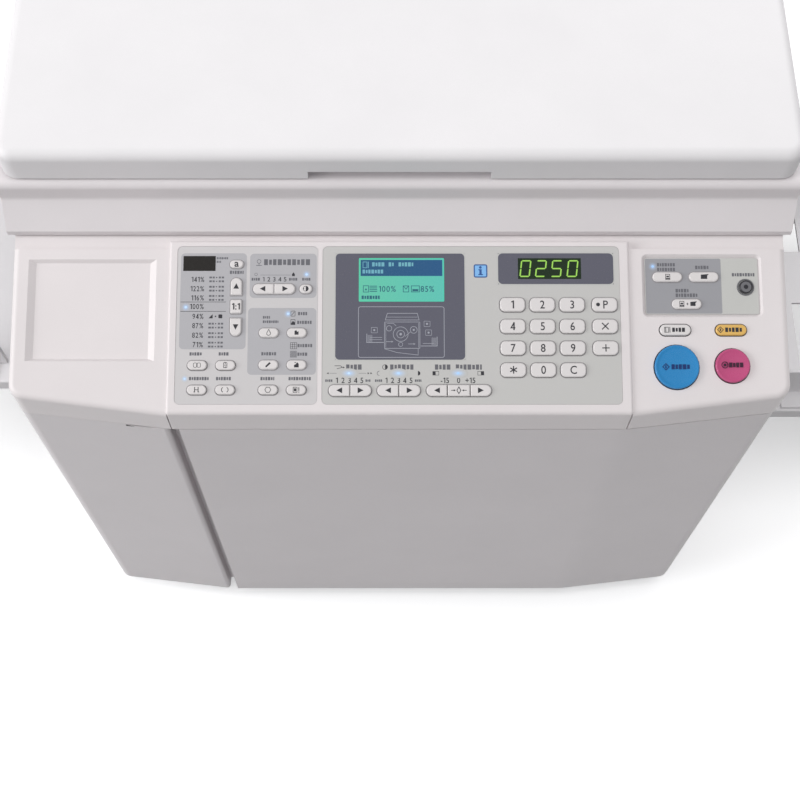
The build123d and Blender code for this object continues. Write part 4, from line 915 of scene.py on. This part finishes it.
def drawCounter():
    back = newArt(screenTop, thick["light"])
    zoneOf(back, *counter["place"], 0.2)
    makeArt(back, "counter_window", "digitBack")
    art = newArt(screenTop + 0.03, thick["film"])
    middle = (counter["place"][2] + counter["place"][3]) / 2
    x, y, line = counter["width"] / 2, counter["height"] / 2, counter["line"]
    parts = {
        "a": ((-x, y), (x, y)), "b": ((x, y), (x, 0)), "c": ((x, 0), (x, -y)), "d": ((-x, -y), (x, -y)),
        "e": ((-x, -y), (-x, 0)), "f": ((-x, 0), (-x, y)), "g": ((-x, 0), (x, 0)),
    }
    shapes = {"0": "abcdef", "2": "abged", "5": "afgcd"}
    for centre, char in zip(counter["centres"], counter["shown"]):
        for part in shapes[char]:
            (x0, y0), (x1, y1) = parts[part]
            flat = y0 == y1
            ends = []
            for sx, sy in ((x0, y0), (x1, y1)):
                cut = 0.55 * line
                sx -= math.copysign(cut, sx) if flat else 0
                sy -= 0 if flat else (math.copysign(cut, sy) if sy else -math.copysign(cut, y0 + y1))
                ends.append((sx, sy))
            (x0, y0), (x1, y1) = sorted(ends)
            half = line / 2
            if flat:
                shape = [(x0 - half * 0.8, y0), (x0, y0 - half), (x1, y0 - half), (x1 + half * 0.8, y0),
                         (x1, y0 + half), (x0, y0 + half)]
            else:
                shape = [(x0, y0 - half * 0.8), (x0 + half, y0), (x0 + half, y1), (x0, y1 + half * 0.8),
                         (x0 - half, y1), (x0 - half, y0)]
            slab(art, [(centre + px + counter["slant"] * py, middle + py) for px, py in shape])
    makeArt(art, "counter_digits", "digits")


drawWindows()
drawScreen()
drawDiagram()
drawCounter()
print("duplicator: left sheet and displays drawn")

# Marks of the middle sheet around its keys
centreSheet = {
    "info": (63.85, 113.7, 10.4),
    "speedNumbers": ("12345", (-48.6, -43.8, -38.8, -34.0, -29.2)),
    "densityNumbers": ("12345", (-10.1, -5.4, -0.5, 4.1, 9.0)),
    "numberRow": 26.4,
    "lamps": ((-39.2, 32.0), (-0.7, 32.0), (45.6, 32.0)),
    "labels": ((-41.4, -28.0, 36.9, 4.1), (-7.2, 11.4, 36.9, 4.1), (27.6, 41.2, 36.9, 4.1),
               (43.8, 64.0, 36.9, 4.1), (-57.6, -51.9, 26.2, 1.9), (-26.4, -21.7, 26.2, 1.9),
               (-19.0, -13.5, 26.2, 1.9), (12.0, 17.0, 26.2, 1.9)),
}


# Signs of the middle sheet
centreMarks = {
    "ink": (
        # speed: a sheet that flies out, slow and fast marks
        ("stroke", [(-50.4, 37.9), (-45.8, 37.9), (-44.4, 36.6), (-48.6, 35.6)], 0.4),
        ("arrowHead", -43.4, 36.6, 0.9, 0),
        ("arrowHead", -55.6, 32.0, 0.9, 180),
        # density: half-dark discs
        ("ring", -11.2, 36.9, 2.1, 0.35),
    ),
    "pale": (
        ("bar", -51.6, 32.0, 5.6, 0.25),
        ("bar", -28.6, 32.0, 5.6, 0.25),
    ),
}


def drawCentreSheet():
    surface = sheetTop
    ink, pale = newArt(surface, thick["ink"]), newArt(surface, thick["ink"])
    for start, end, row, height in centreSheet["labels"]:
        wordBars(pale, start, end, row, height)
    for text, places in (centreSheet["speedNumbers"], centreSheet["densityNumbers"]):
        for char, at in zip(text, places):
            letters(ink, char, at, centreSheet["numberRow"], 4.2, thin=0.9)
    for text, at in (("-15", 35.2), ("0", 45.9), ("+15", 55.0)):
        letters(ink, text, at, centreSheet["numberRow"], 4.2, thin=0.9)
    for at in (-24.2, -22.0):
        arrowHead(ink, at, 32.0, 0.9, 0)
    slab(ink, circle(-11.2, 36.9, 1.8, 14, -90, 180))
    stroke(pale, circle(-15.6, 32.0, 1.7, 12, 90, 180), 0.35)
    slab(ink, circle(14.4, 32.0, 1.8, 14, -90, 180))
    # position: image to the left and to the right on a page
    for at, side in ((28.2, -1), (63.2, 1)):
        outline(ink, at, 32.0, 5.0, 3.2, 0.3)
        bar(ink, at + side * 1.2, 32.0, 2.2, 2.6)
    drawMarks(ink, centreMarks["ink"])
    makeArt(ink, "centre_sheet_marks", "ink")
    drawMarks(pale, centreMarks["pale"])
    makeArt(pale, "centre_sheet_labels", "paleInk")
    # information mark
    u, v, size = centreSheet["info"]
    fill, line = newArt(surface, thick["film"]), newArt(surface + 0.04, thick["film"])
    bar(fill, u, v, size, size, 1.3)
    outline(line, u, v, size + 0.3, size + 0.3, 0.9, 1.5)
    dot(line, u - 0.1, v + 2.9, 1.05)
    slab(line, [(u - 1.6, v + 1.4), (u - 1.6, v + 0.5), (u - 0.9, v + 0.5), (u - 0.9, v - 2.5), (u - 1.7, v - 2.5),
                (u - 1.7, v - 3.4), (u + 1.8, v - 3.4), (u + 1.8, v - 2.5), (u + 0.9, v - 2.5), (u + 0.9, v + 1.4)])
    makeArt(fill, "info_mark_fill", "infoBlue")
    makeArt(line, "info_mark_line", "infoLine")


# Legends of the number keys and of the keys beside them
keypad = {
    "columns": (88.5, 111.8, 135.1), "rows": (86.3, 69.0, 51.7, 34.4), "side": 160.6,
    "size": (19.5, 11.0), "corner": 4.0,
    "legends": (("key_1", "1"), ("key_2", "2"), ("key_3", "3"), ("key_4", "4"), ("key_5", "5"), ("key_6", "6"),
                ("key_7", "7"), ("key_8", "8"), ("key_9", "9"), ("key_star", "*"), ("key_0", "0"),
                ("key_clear", "C")),
    "height": 6.3, "cross": (2.6, 0.8),   # half width and line of the x and the +
}
# Arrows of the speed, density and position keys, and the sign of the position's middle key
adjustKeys = {
    "row": 18.3, "headSize": 2.8,
    "heads": ((-46.05, 180), (-30.7, 0), (-8.3, 180), (7.25, 0), (29.6, 180), (62.4, 0)),
    "home": (
        ("arrow", 41.6, 18.3, 3.4, 0, 0.45),
        ("arrow", 50.3, 18.3, 3.4, 180, 0.45),
        ("stroke", [(45.95, 20.9), (47.5, 18.3), (45.95, 15.7), (44.4, 18.3)], 0.55, {"closed": True}),
    ),
}


def drawKeypad():
    top = level["key"] + level["lift"]
    for place, (body, text) in enumerate(keypad["legends"]):
        art = newArt(top, thick["ink"])
        u, v = keypad["columns"][place % 3], keypad["rows"][place // 3]
        if text == "*":
            for k in range(3):
                turn = math.radians(90 + 60 * k)
                reach = Vector((math.cos(turn), math.sin(turn))) * 3.0
                art["low"], art["high"] = top + 0.05 * k, top + 0.05 * k + 0.04
                stroke(art, [(u - reach.x, v - reach.y), (u + reach.x, v + reach.y)], 0.85)
        else:
            letters(art, text, u, v, keypad["height"], thin=0.88)
        makeArt(art, body + "_legend", "ink", body=body)
    art = newArt(top, thick["ink"])
    u, rows = keypad["side"], keypad["rows"]
    dot(art, u - 5.3, rows[0], 1.5)
    letters(art, "P", u + 0.6, rows[0], keypad["height"], thin=0.9)
    half, line = keypad["cross"]
    stroke(art, [(u - half, rows[1] - half), (u + half, rows[1] + half)], line)
    bar(art, u, rows[2], 2 * half + 0.6, line)
    art["low"], art["high"] = top + 0.05, top + 0.09   # the second arm lies over the first
    stroke(art, [(u - half, rows[1] + half), (u + half, rows[1] - half)], line)
    bar(art, u, rows[2], line, 2 * half + 0.6)
    makeArt(art, "memory_key_legends", "ink", body="memory_keys")
    art = newArt(top, thick["ink"])
    for u, way in adjustKeys["heads"]:
        arrowHead(art, u, adjustKeys["row"], adjustKeys["headSize"], way)
    drawMarks(art, adjustKeys["home"])
    makeArt(art, "adjust_key_marks", "ink", body="adjust_keys")


drawCentreSheet()
drawKeypad()

# Right end: films, labels and key marks
rightEnd = {
    "zones": {"dark": (194.0, 253.6, 80.2, 124.5), "wake": (253.8, 282.2, 80.2, 124.5)},
    "lamp": (200.0, 118.2),
    "labels": ((203.4, 218.4, 119.6, 2.7), (203.4, 218.8, 115.8, 2.7), (233.5, 245.2, 117.4, 2.9),
               (217.4, 227.6, 98.6, 2.9), (217.4, 234.8, 94.9, 2.9), (262.2, 280.0, 111.5, 2.7)),
    "wake": {"place": (272.5, 101.3), "ring": (5.65, 6.5)},
}


def printStack(art, u, v, width=5.6, height=3.4):
    # a pile of sheets with one leaving it
    slab(art, [(u - width / 2, v - height / 2), (u + width / 2 - 0.6, v - height / 2),
               (u + width / 2 - 0.6, v + height / 2 - 0.7), (u + width / 2 + 0.5, v + height / 2),
               (u + width / 2 + 0.4, v + height / 2 + 0.5), (u - width / 2, v + height / 2)])


def masterPage(art, u, v):
    outline(art, u, v, 3.7, 4.6, 0.42)
    bar(art, u, v + 0.3, 2.0, 1.3)
    bar(art, u, v - 1.3, 2.9, 0.8)


markShapes.update(printStack=printStack, masterPage=masterPage)
# Key, the height its mark lies on and the mark's shapes
endKeyMarks = {
    "master_key": ("modeKey", (("masterPage", 211.2, 109.3),)),
    "print_key": ("modeKey", (("printStack", 240.1, 109.4),)),
    "auto_process_key": ("modeKey", (
        ("masterPage", 221.6, 87.5), ("bar", 226.0, 87.5, 1.5, 0.45), ("bar", 226.0, 88.1, 0.45, 0.75),
        ("bar", 226.0, 86.9, 0.45, 0.75), ("printStack", 230.6, 87.5, 4.6, 3.2),
    )),
    "proof_key": ("endKey", (
        ("outline", 208.6, 66.5, 3.4, 4.4, 0.42), ("bar", 208.0, 66.5, 0.5, 3.6),
        ("bar", 211.2, 66.5, 0.55, 4.4), ("wordBars", 213.0, 224.6, 66.5, 3.4),
    )),
    "reset_key": ("endKey", (
        ("stroke", [(250.7, 68.8), (253.0, 66.5), (250.7, 64.2), (248.4, 66.5)], 0.5, {"closed": True}),
        ("bar", 250.7, 66.5, 1.0, 2.0), ("wordBars", 254.4, 268.2, 66.5, 3.6),
    )),
}


def drawRightEnd():
    surface = modeTop
    for key, finish in (("dark", "darkZone"), ("wake", "midZone")):
        film = newArt(surface, thick["film"])
        zoneOf(film, *rightEnd["zones"][key], 1.2)
        makeArt(film, key + "_zone_film", finish)
    pale = newArt(surface + 0.04, thick["film"])
    for start, end, row, height in rightEnd["labels"]:
        wordBars(pale, start, end, row, height)
    makeArt(pale, "right_sheet_labels", "paleInk")

    for key, (height, marks) in endKeyMarks.items():
        art = newArt(level[height] + level["lift"], thick["ink"])
        drawMarks(art, marks)
        makeArt(art, key + "_mark", "ink", body=key)

    # wake key: a dark bezel around it and a grey ring on its cap
    u, v = rightEnd["wake"]["place"]
    inner, outer = rightEnd["wake"]["ring"]
    bm, base = bmesh.new(), level["modeSheet"]
    lathe(bm, [(inner, 0.02), (outer + 0.35, 0.02), (outer + 0.35, 0.25), (outer, 0.75), (inner + 0.35, 0.8),
               (inner, 0.45), (inner, 0.02)], (u, v, base))
    makePiece(bm, "wake_key_bezel", finishes["marble"], "machine")
    art = newArt(level["modeKey"] + level["lift"], 0.05)
    ring(art, u, v, 4.2, 2.4)
    makeArt(art, "wake_key_ring", "marble", body="wake_key")


# The two large keys: caps with a raised rim around a shallow dish
capShape = {"foot": -6.9, "footEdge": 0.3, "shoulder": 0.9, "drop": 1.1, "rim": 1.5, "rimEdge": 0.5,
            "step": 0.28, "dishRows": 9}
bigKeys = {
    "start": {"node": "start_key", "place": (215.8, 37.0), "radius": 17.3, "dish": 0.55, "finish": "blue",
              "slot": "start_blue"},
    "stop": {"node": "stop_key", "place": (259.2, 38.0), "radius": 13.4, "dish": 1.1, "finish": "pink",
             "slot": "stop_pink"},
}


def makeBigKey(key):
    spec = bigKeys[key]
    (u, v), radius, top = spec["place"], spec["radius"], level["bigKey"]
    foot, edge, shoulder, drop = (capShape[part] for part in ("foot", "footEdge", "shoulder", "drop"))
    profile = [(0, foot), (radius - edge, foot), (radius, foot + edge), (radius, top - drop)]
    for k in range(1, 5):   # rounded shoulder
        angle = math.radians(90 * k / 4)
        profile.append((radius - shoulder + shoulder * math.cos(angle),
                        top - drop + shoulder * math.sin(angle) * 1.2))
    floor, inside = top - capShape["step"], radius - capShape["rim"] - capShape["rimEdge"]
    profile += [(radius - capShape["rim"], top), (inside, floor)]
    for k in range(1, capShape["dishRows"] + 1):
        r = inside * (1 - k / capShape["dishRows"])
        profile.append((r, floor - spec["dish"] * (1 - (r / inside) ** 2)))
    profile[-1] = (0, profile[-1][1])
    bm = bmesh.new()
    lathe(bm, profile, (u, v, 0), 72)
    cap = makePiece(bm, key + "_key_cap", finishes[spec["finish"]], spec["node"], smooth=50)
    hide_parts(spec["node"])
    return u, v, floor - spec["dish"] + 0.12   # where its mark starts


def drawBigKeys():
    u, v, height = makeBigKey("start")
    art = newArt(height, 0.34)
    stroke(art, [(u - 8.8, v + 2.5), (u - 6.3, v), (u - 8.8, v - 2.5), (u - 11.3, v)], 0.6, closed=True)
    bar(art, u - 8.8, v, 0.9, 2.4)
    wordBars(art, u - 4.4, u + 9.8, v, 3.9)
    makeArt(art, "start_key_mark", "navy", body="start_key")
    u, v, height = makeBigKey("stop")
    art = newArt(height, 0.72)
    ring(art, u - 6.2, v + 0.5, 2.7, 0.6)
    bar(art, u - 6.2, v + 0.5, 2.1, 2.1)
    wordBars(art, u - 2.8, u + 8.8, v + 0.5, 3.7)
    makeArt(art, "stop_key_mark", "plum", body="stop_key")


drawRightEnd()
drawBigKeys()
drawSeams()

# Indicator lamps: a small bright window in a soft halo
lamps = {"window": 1.8, "halo": 3.9, "steps": 30}   # window width, halo radius


def haloMaterial(name, ground):
    material, tree, shader, coords = startMaterial(name)
    shade = addNode(tree, "ShaderNodeAttribute", attribute_name="halo")
    fine = noiseOf(tree, coords, 0.8, 2)
    tone = mixColour(tree, shade.outputs["Fac"], linear(ground), linear((172, 203, 238)))
    feed(tree, tone, shader, "Base Color")
    feed(tree, ramp(tree, fine, 0.34, 0.44), shader, "Roughness")
    glow = mixColour(tree, shade.outputs["Fac"], (0, 0, 0), scaled(linear((130, 185, 255)), 0.25))
    feed(tree, glow, shader, "Emission Color")
    shader.inputs["Emission Strength"].default_value = 1.0
    return material


def makeLamps(name, places, surface, ground, size=1.0, wide=1.0):
    bm = bmesh.new()
    layer = bm.verts.layers.float.new("halo")
    rings, count = 6, lamps["steps"]
    for u, v in places:
        rows = []
        under = bm.verts.new((u, v, surface - 0.015))
        under[layer] = 0
        for k in range(rings + 1):
            share = k / rings
            row = []
            for x, y in circle(0, 0, max(0.001, share) * lamps["halo"] * size, count):
                vert = bm.verts.new((u + x * wide, v + y, surface))
                vert[layer] = (1 - share) ** 2
                row.append(vert)
            rows.append(row)
        for a, b in zip(rows, rows[1:]):
            for i in range(count):
                bm.faces.new((a[i], b[i], b[(i + 1) % count], a[(i + 1) % count]))
        bm.faces.new(list(reversed(rows[0])))
        for i in range(count):
            bm.faces.new((rows[-1][(i + 1) % count], rows[-1][i], under))
    bmesh.ops.recalc_face_normals(bm, faces=bm.faces[:])
    mesh = bpy.data.meshes.new(name + "_halos")
    bm.to_mesh(mesh)
    bm.free()
    mesh.transform(panelMatrix)
    mesh.materials.append(haloMaterial(name + "Halo", ground))
    piece = bpy.data.objects.new(name + "_halos", mesh)
    scene.collection.objects.link(piece)
    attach(piece, "machine")
    art = newArt(surface + 0.02, thick["film"])
    for u, v in places:
        bar(art, u, v, lamps["window"] * size, lamps["window"] * size * 0.8, 0.5)
    makeArt(art, name + "_windows", "ledOn")


makeLamps("left_zone_lamps", leftSheet["lamps"][:3], sheetTop + 0.05, (180, 179, 183))
makeLamps("left_sheet_lamp", leftSheet["lamps"][3:], sheetTop + 0.01, (203, 201, 202), 0.8)
makeLamps("centre_lamps", centreSheet["lamps"], sheetTop + 0.05, (195, 194, 192), 1.0, 1.9)
makeLamps("right_lamp", [rightEnd["lamp"]], modeTop + 0.05, (157, 157, 162))
print("duplicator: key marks and lamps drawn")


# Fittings of the casing

def screwHead(bm, place, axis, radius=3.4, height=1.3):
    # a pan head with a cross recess
    turnTo = {"Y": Matrix.Rotation(math.radians(-90), 3, "X"), "X": Matrix.Rotation(math.radians(90), 3, "Y"),
              "-X": Matrix.Rotation(math.radians(-90), 3, "Y")}[axis]

    def at(x, y, z):
        return bm.verts.new(Vector(place) + turnTo @ Vector((x, y, z)))

    steps, slot, reach = 24, radius * 0.13, radius * 0.55
    rows = []
    for r, h in ((radius, 0.0), (radius, height * 0.45), (radius * 0.9, height * 0.8), (radius * 0.72, height)):
        rows.append([at(r * math.cos(2 * math.pi * k / steps), r * math.sin(2 * math.pi * k / steps), h)
                     for k in range(steps)])
    for a, b in zip(rows, rows[1:]):
        for k in range(steps):
            j = (k + 1) % steps
            bm.faces.new((a[k], a[j], b[j], b[k]))
    bm.faces.new(rows[0][::-1])
    corners = [(slot, slot), (slot, reach), (-slot, reach), (-slot, slot), (-reach, slot), (-reach, -slot),
               (-slot, -slot), (-slot, -reach), (slot, -reach), (slot, -slot), (reach, -slot), (reach, slot)]
    upper = [at(x, y, height) for x, y in corners]
    lower = [at(x * 0.8, y * 0.8, height * 0.35) for x, y in corners]
    count = len(corners)
    edges = [bm.edges.new((upper[k], upper[(k + 1) % count])) for k in range(count)]
    edges += [bm.edges.get((rows[-1][k], rows[-1][(k + 1) % steps])) for k in range(steps)]
    bmesh.ops.triangle_fill(bm, use_beauty=True, edges=edges)
    for k in range(count):
        j = (k + 1) % count
        bm.faces.new((upper[k], upper[j], lower[j], lower[k]))
    bm.faces.new(lower)


casing = {
    "crossPlate": ((-2.0, -266.5, 22.5), (0.0, 189.5, 240.0)), "plateLip": 30.0,   # below the press roller
    "rearScrews": [(x, 326.0, z) for x in (-290, -100, 90, 290) for z in (36, 540)],
    "sideScrews": [(y, 34) for y in (-262, 0, 300)],
    "halfWidth": 305.0,
}


def makeCasingFittings():
    bm = bmesh.new()
    for place in casing["rearScrews"]:
        screwHead(bm, (place[0], place[1] - 1.32, place[2]), "Y")
    for y, z in casing["sideScrews"]:
        screwHead(bm, (casing["halfWidth"] - 0.01, y, z), "X")
        screwHead(bm, (-casing["halfWidth"] + 0.01, y, z), "-X")
    makePiece(bm, "casing_screws", finishes["pin"], "machine", bodyMatrix)
    # the cross plate under the press roller, with its lip for the paper
    bm = bmesh.new()
    low, high = casing["crossPlate"]
    softBox(bm, low, high, 0.4)
    softBox(bm, (low[0] - casing["plateLip"], low[1], high[2] - 1.6), (low[0] + 0.6, high[1], high[2]), 0.4)
    makePiece(bm, "press_cross_plate", finishes["dark"], "machine", bodyMatrix)


# Power switch marks: a bar for on and a ring for off
switchMarks = {"place": (303.5, -240.0, 150.0), "tilt": 9.0}


def makeSwitchMarks():
    # the rocker's own faces slope to both sides of its middle, so each mark lies on its half
    x, y, z = switchMarks["place"]
    tilt = math.radians(switchMarks["tilt"])
    turned = Matrix.Translation((x, y, z)) @ Matrix.Rotation(-tilt, 4, "Y")
    for kind, low, high in (("on", (5.0, 11.5), (3.0, 0.0)), ("off", (3.0, 0.0), (5.0, -11.5))):
        a, b = Vector((low[0], 0, low[1])), Vector((high[0], 0, high[1]))
        middle, along = (a + b) / 2, (a - b).normalized()
        out = Vector((along.z, 0, -along.x))
        basis = Matrix((Vector((0, 1, 0)), along, out)).transposed().to_4x4()
        place = bodyMatrix @ turned @ Matrix.Translation(middle) @ basis
        art = newArt(0.03, 0.08)
        if kind == "on":
            bar(art, 0, 0, 0.8, 4.0)
        else:
            ring(art, 0, 0, 2.0, 0.6)
        makePiece(art["bm"], "switch_mark_" + kind, finishes["whiteInk"], "power_switch", place)


# Trays: size marks along both sides and an arrow for the paper's way
trays = {
    "feed": {"body": "feed_tray", "top": 262.0, "near": -382.0, "side": -1},
    "receive": {"body": "receive_tray", "top": 190.0, "near": 384.0, "side": 1},
    "middle": -20.0, "rows": (-152.0, 152.0), "marks": 9, "first": 30, "step": 26, "arrow": (250, -66, 30),
}


def makeTrayDetails():
    for key in ("feed", "receive"):
        spec = trays[key]
        art = newArt(spec["top"] + 0.02, 0.12)
        near, side = spec["near"], spec["side"]
        for k in range(trays["marks"]):
            for v in trays["rows"]:
                bar(art, near + side * (trays["first"] + k * trays["step"]), trays["middle"] + v, 0.6,
                    6.0 if k % 2 else 9.0)
        out, v, length = trays["arrow"]
        arrow(art, near + side * out, trays["middle"] + v, length, 0, 2.2)
        makePiece(art["bm"], key + "_tray_marks", finishes["paleInk"], spec["body"], bodyMatrix)


# Scan glass: a scale in steps of 10 mm along its left and rear edges, and a corner arrow
glassScale = {"left": -228.0, "front": -130.0, "rear": 188.0, "top": 600.0, "counts": (32, 44)}


def makeGlassScale():
    art = newArt(glassScale["top"] + 0.02, 0.06)
    for k in range(glassScale["counts"][0]):
        bar(art, glassScale["left"], glassScale["front"] + 4 + k * 10, 5.5 if k % 5 == 0 else 3.0, 0.5)
    for k in range(glassScale["counts"][1]):
        bar(art, -216 + k * 10, glassScale["rear"] + 7.0, 0.5, 5.5 if k % 5 == 0 else 3.0)
    arrowHead(art, -226.0, glassScale["rear"] + 7.5, 4.0, -45)
    makePiece(art["bm"], "glass_scale_marks", finishes["ink"], "machine", bodyMatrix)


# The finger scoop at the top of the fixed cover gets a dark piece inside: painted shade for its deep hollow
scoop = {"middle": -201.5, "top": 488.5, "width": 33.0, "depth": 3.5, "y": (-322.4, -315.6)}


def makeScoopLining():
    half, depth = scoop["width"] / 2, scoop["depth"]
    radius = (half * half + depth * depth) / (2 * depth)
    centre = scoop["top"] - depth + radius
    bm = bmesh.new()
    sweep = math.degrees(math.asin(half / radius)) * 0.96
    rows = []
    for r, y in ((radius - 0.05, 0), (radius - 0.3, 0), (radius - 0.3, 1), (radius - 0.05, 1)):
        rows.append([
            bm.verts.new((scoop["middle"] + r * math.sin(math.radians(a)), scoop["y"][y],
                          centre - r * math.cos(math.radians(a))))
            for a in [sweep * (k / 12 - 1) for k in range(25)]
        ])
    for k in range(4):
        a, b = rows[k], rows[(k + 1) % 4]
        for i in range(24):
            bm.faces.new((a[i], a[i + 1], b[i + 1], b[i]))
    for i in (0, 24):
        bm.faces.new([row[i] for row in rows])
    # the dark plastic here is painted shade in the hollow, not a part of the cover
    makePiece(bm, "scoop_painted_shade", finishes["dark"], "machine", bodyMatrix)


makeScoopLining()
makeCasingFittings()
makeSwitchMarks()
makeTrayDetails()
makeGlassScale()
print("duplicator: fittings made")

# Floor, world, lamps and camera
studio = {
    "floorSize": 14.0,
    "floorSeen": (250, 250, 251), "floorGlow": 0.27, "floorBounce": (98, 98, 100),
    "worldLight": 0.37,
    "overhead": {"strength": 1.3, "softness": 40, "toward": (0.0, -0.1, 1.0)},
    "softBoxes": (   # name, power, size, place, aim
        ("lowLeft", 72.0, (2.2, 1.6), (-3.3, -0.84, 1.95), (0.0, -0.25, 0.55)),
        ("lowFront", 1.2, (1.6, 0.5), (0.1, -1.5, 0.2), (0.0, -0.33, 0.16)),
        ("highRear", 26.0, (1.4, 1.0), (1.1, 2.3, 1.5), (0.0, 0.1, 0.4)),
    ),
}


def rayMix(tree, seen, other, kinds=("Is Camera Ray", "Is Glossy Ray", "Is Transmission Ray")):
    path = addNode(tree, "ShaderNodeLightPath")
    factor = path.outputs[kinds[0]]
    for kind in kinds[1:]:
        node = addNode(tree, "ShaderNodeMath", operation="MAXIMUM")
        tree.links.new(factor, node.inputs[0])
        tree.links.new(path.outputs[kind], node.inputs[1])
        factor = node.outputs[0]
    mix = addNode(tree, "ShaderNodeMixShader")
    tree.links.new(factor, mix.inputs[0])
    tree.links.new(other, mix.inputs[1])
    tree.links.new(seen, mix.inputs[2])
    return mix.outputs[0]


def makeFloor():
    half = studio["floorSize"] / 2
    mesh = bpy.data.meshes.new("studio_floor")
    mesh.from_pydata([(-half, -half, 0), (half, -half, 0), (half, half, 0), (-half, half, 0)], [], [(0, 1, 2, 3)])
    material = bpy.data.materials.new("floorPaint")
    material.use_nodes = True
    tree = material.node_tree
    tree.nodes.clear()
    paint = addNode(tree, "ShaderNodeBsdfDiffuse", {"Color": (*linear(studio["floorSeen"]), 1)})
    glow = addNode(tree, "ShaderNodeEmission", {"Strength": studio["floorGlow"]})
    shown = addNode(tree, "ShaderNodeAddShader")
    tree.links.new(paint.outputs[0], shown.inputs[0])
    tree.links.new(glow.outputs[0], shown.inputs[1])
    bounce = addNode(tree, "ShaderNodeBsdfDiffuse", {"Color": (*linear(studio["floorBounce"]), 1)})
    out = addNode(tree, "ShaderNodeOutputMaterial")
    tree.links.new(rayMix(tree, shown.outputs[0], bounce.outputs[0]), out.inputs["Surface"])
    mesh.materials.append(material)
    floor = bpy.data.objects.new("studio_floor", mesh)
    scene.collection.objects.link(floor)


def makeWorld():
    world = bpy.data.worlds.new("studio")
    world.use_nodes = True
    tree = world.node_tree
    tree.nodes.clear()
    seen = addNode(tree, "ShaderNodeBackground", {"Color": (1, 1, 1, 1), "Strength": 1.0})
    light = addNode(tree, "ShaderNodeBackground", {"Color": (1, 1, 1, 1), "Strength": studio["worldLight"]})
    out = addNode(tree, "ShaderNodeOutputWorld")
    tree.links.new(rayMix(tree, seen.outputs[0], light.outputs[0], ("Is Camera Ray", "Is Transmission Ray")),
                   out.inputs["Surface"])
    scene.world = world


def placeLamp(name, data, toward, place=(0, 0, 0)):
    lamp = bpy.data.objects.new(name, data)
    lamp.location = place
    lamp.rotation_euler = Vector(toward).to_track_quat("Z", "Y").to_euler()
    scene.collection.objects.link(lamp)
    return lamp


def makeLights():
    spec = studio["overhead"]
    sun = bpy.data.lights.new("overhead", "SUN")
    sun.energy = spec["strength"]
    sun.angle = math.radians(spec["softness"])
    lamp = placeLamp("overhead", sun, spec["toward"])
    lamp.visible_glossy = False   # or the printed films mirror it straight into the camera
    for name, power, size, place, aim in studio["softBoxes"]:
        area = bpy.data.lights.new(name, "AREA")
        area.shape = "RECTANGLE"
        area.size, area.size_y = size
        area.energy = power
        placeLamp(name, area, Vector(place) - Vector(aim), place)


cameraSpec = {"place": (-0.00889, -0.73264, 1.45992), "pitch": 24.0, "lens": 59.632, "shift": 0.015}


def makeCamera():
    data = bpy.data.cameras.new("camera")
    data.sensor_width = 36
    data.lens = cameraSpec["lens"]
    data.shift_x = cameraSpec["shift"]
    camera = bpy.data.objects.new("camera", data)
    camera.location = cameraSpec["place"]
    camera.rotation_euler = (math.radians(cameraSpec["pitch"]), 0, 0)
    scene.collection.objects.link(camera)
    scene.camera = camera


makeFloor()
makeWorld()
makeLights()
makeCamera()
scene.view_settings.view_transform = "Standard"
print("duplicator: studio set up")
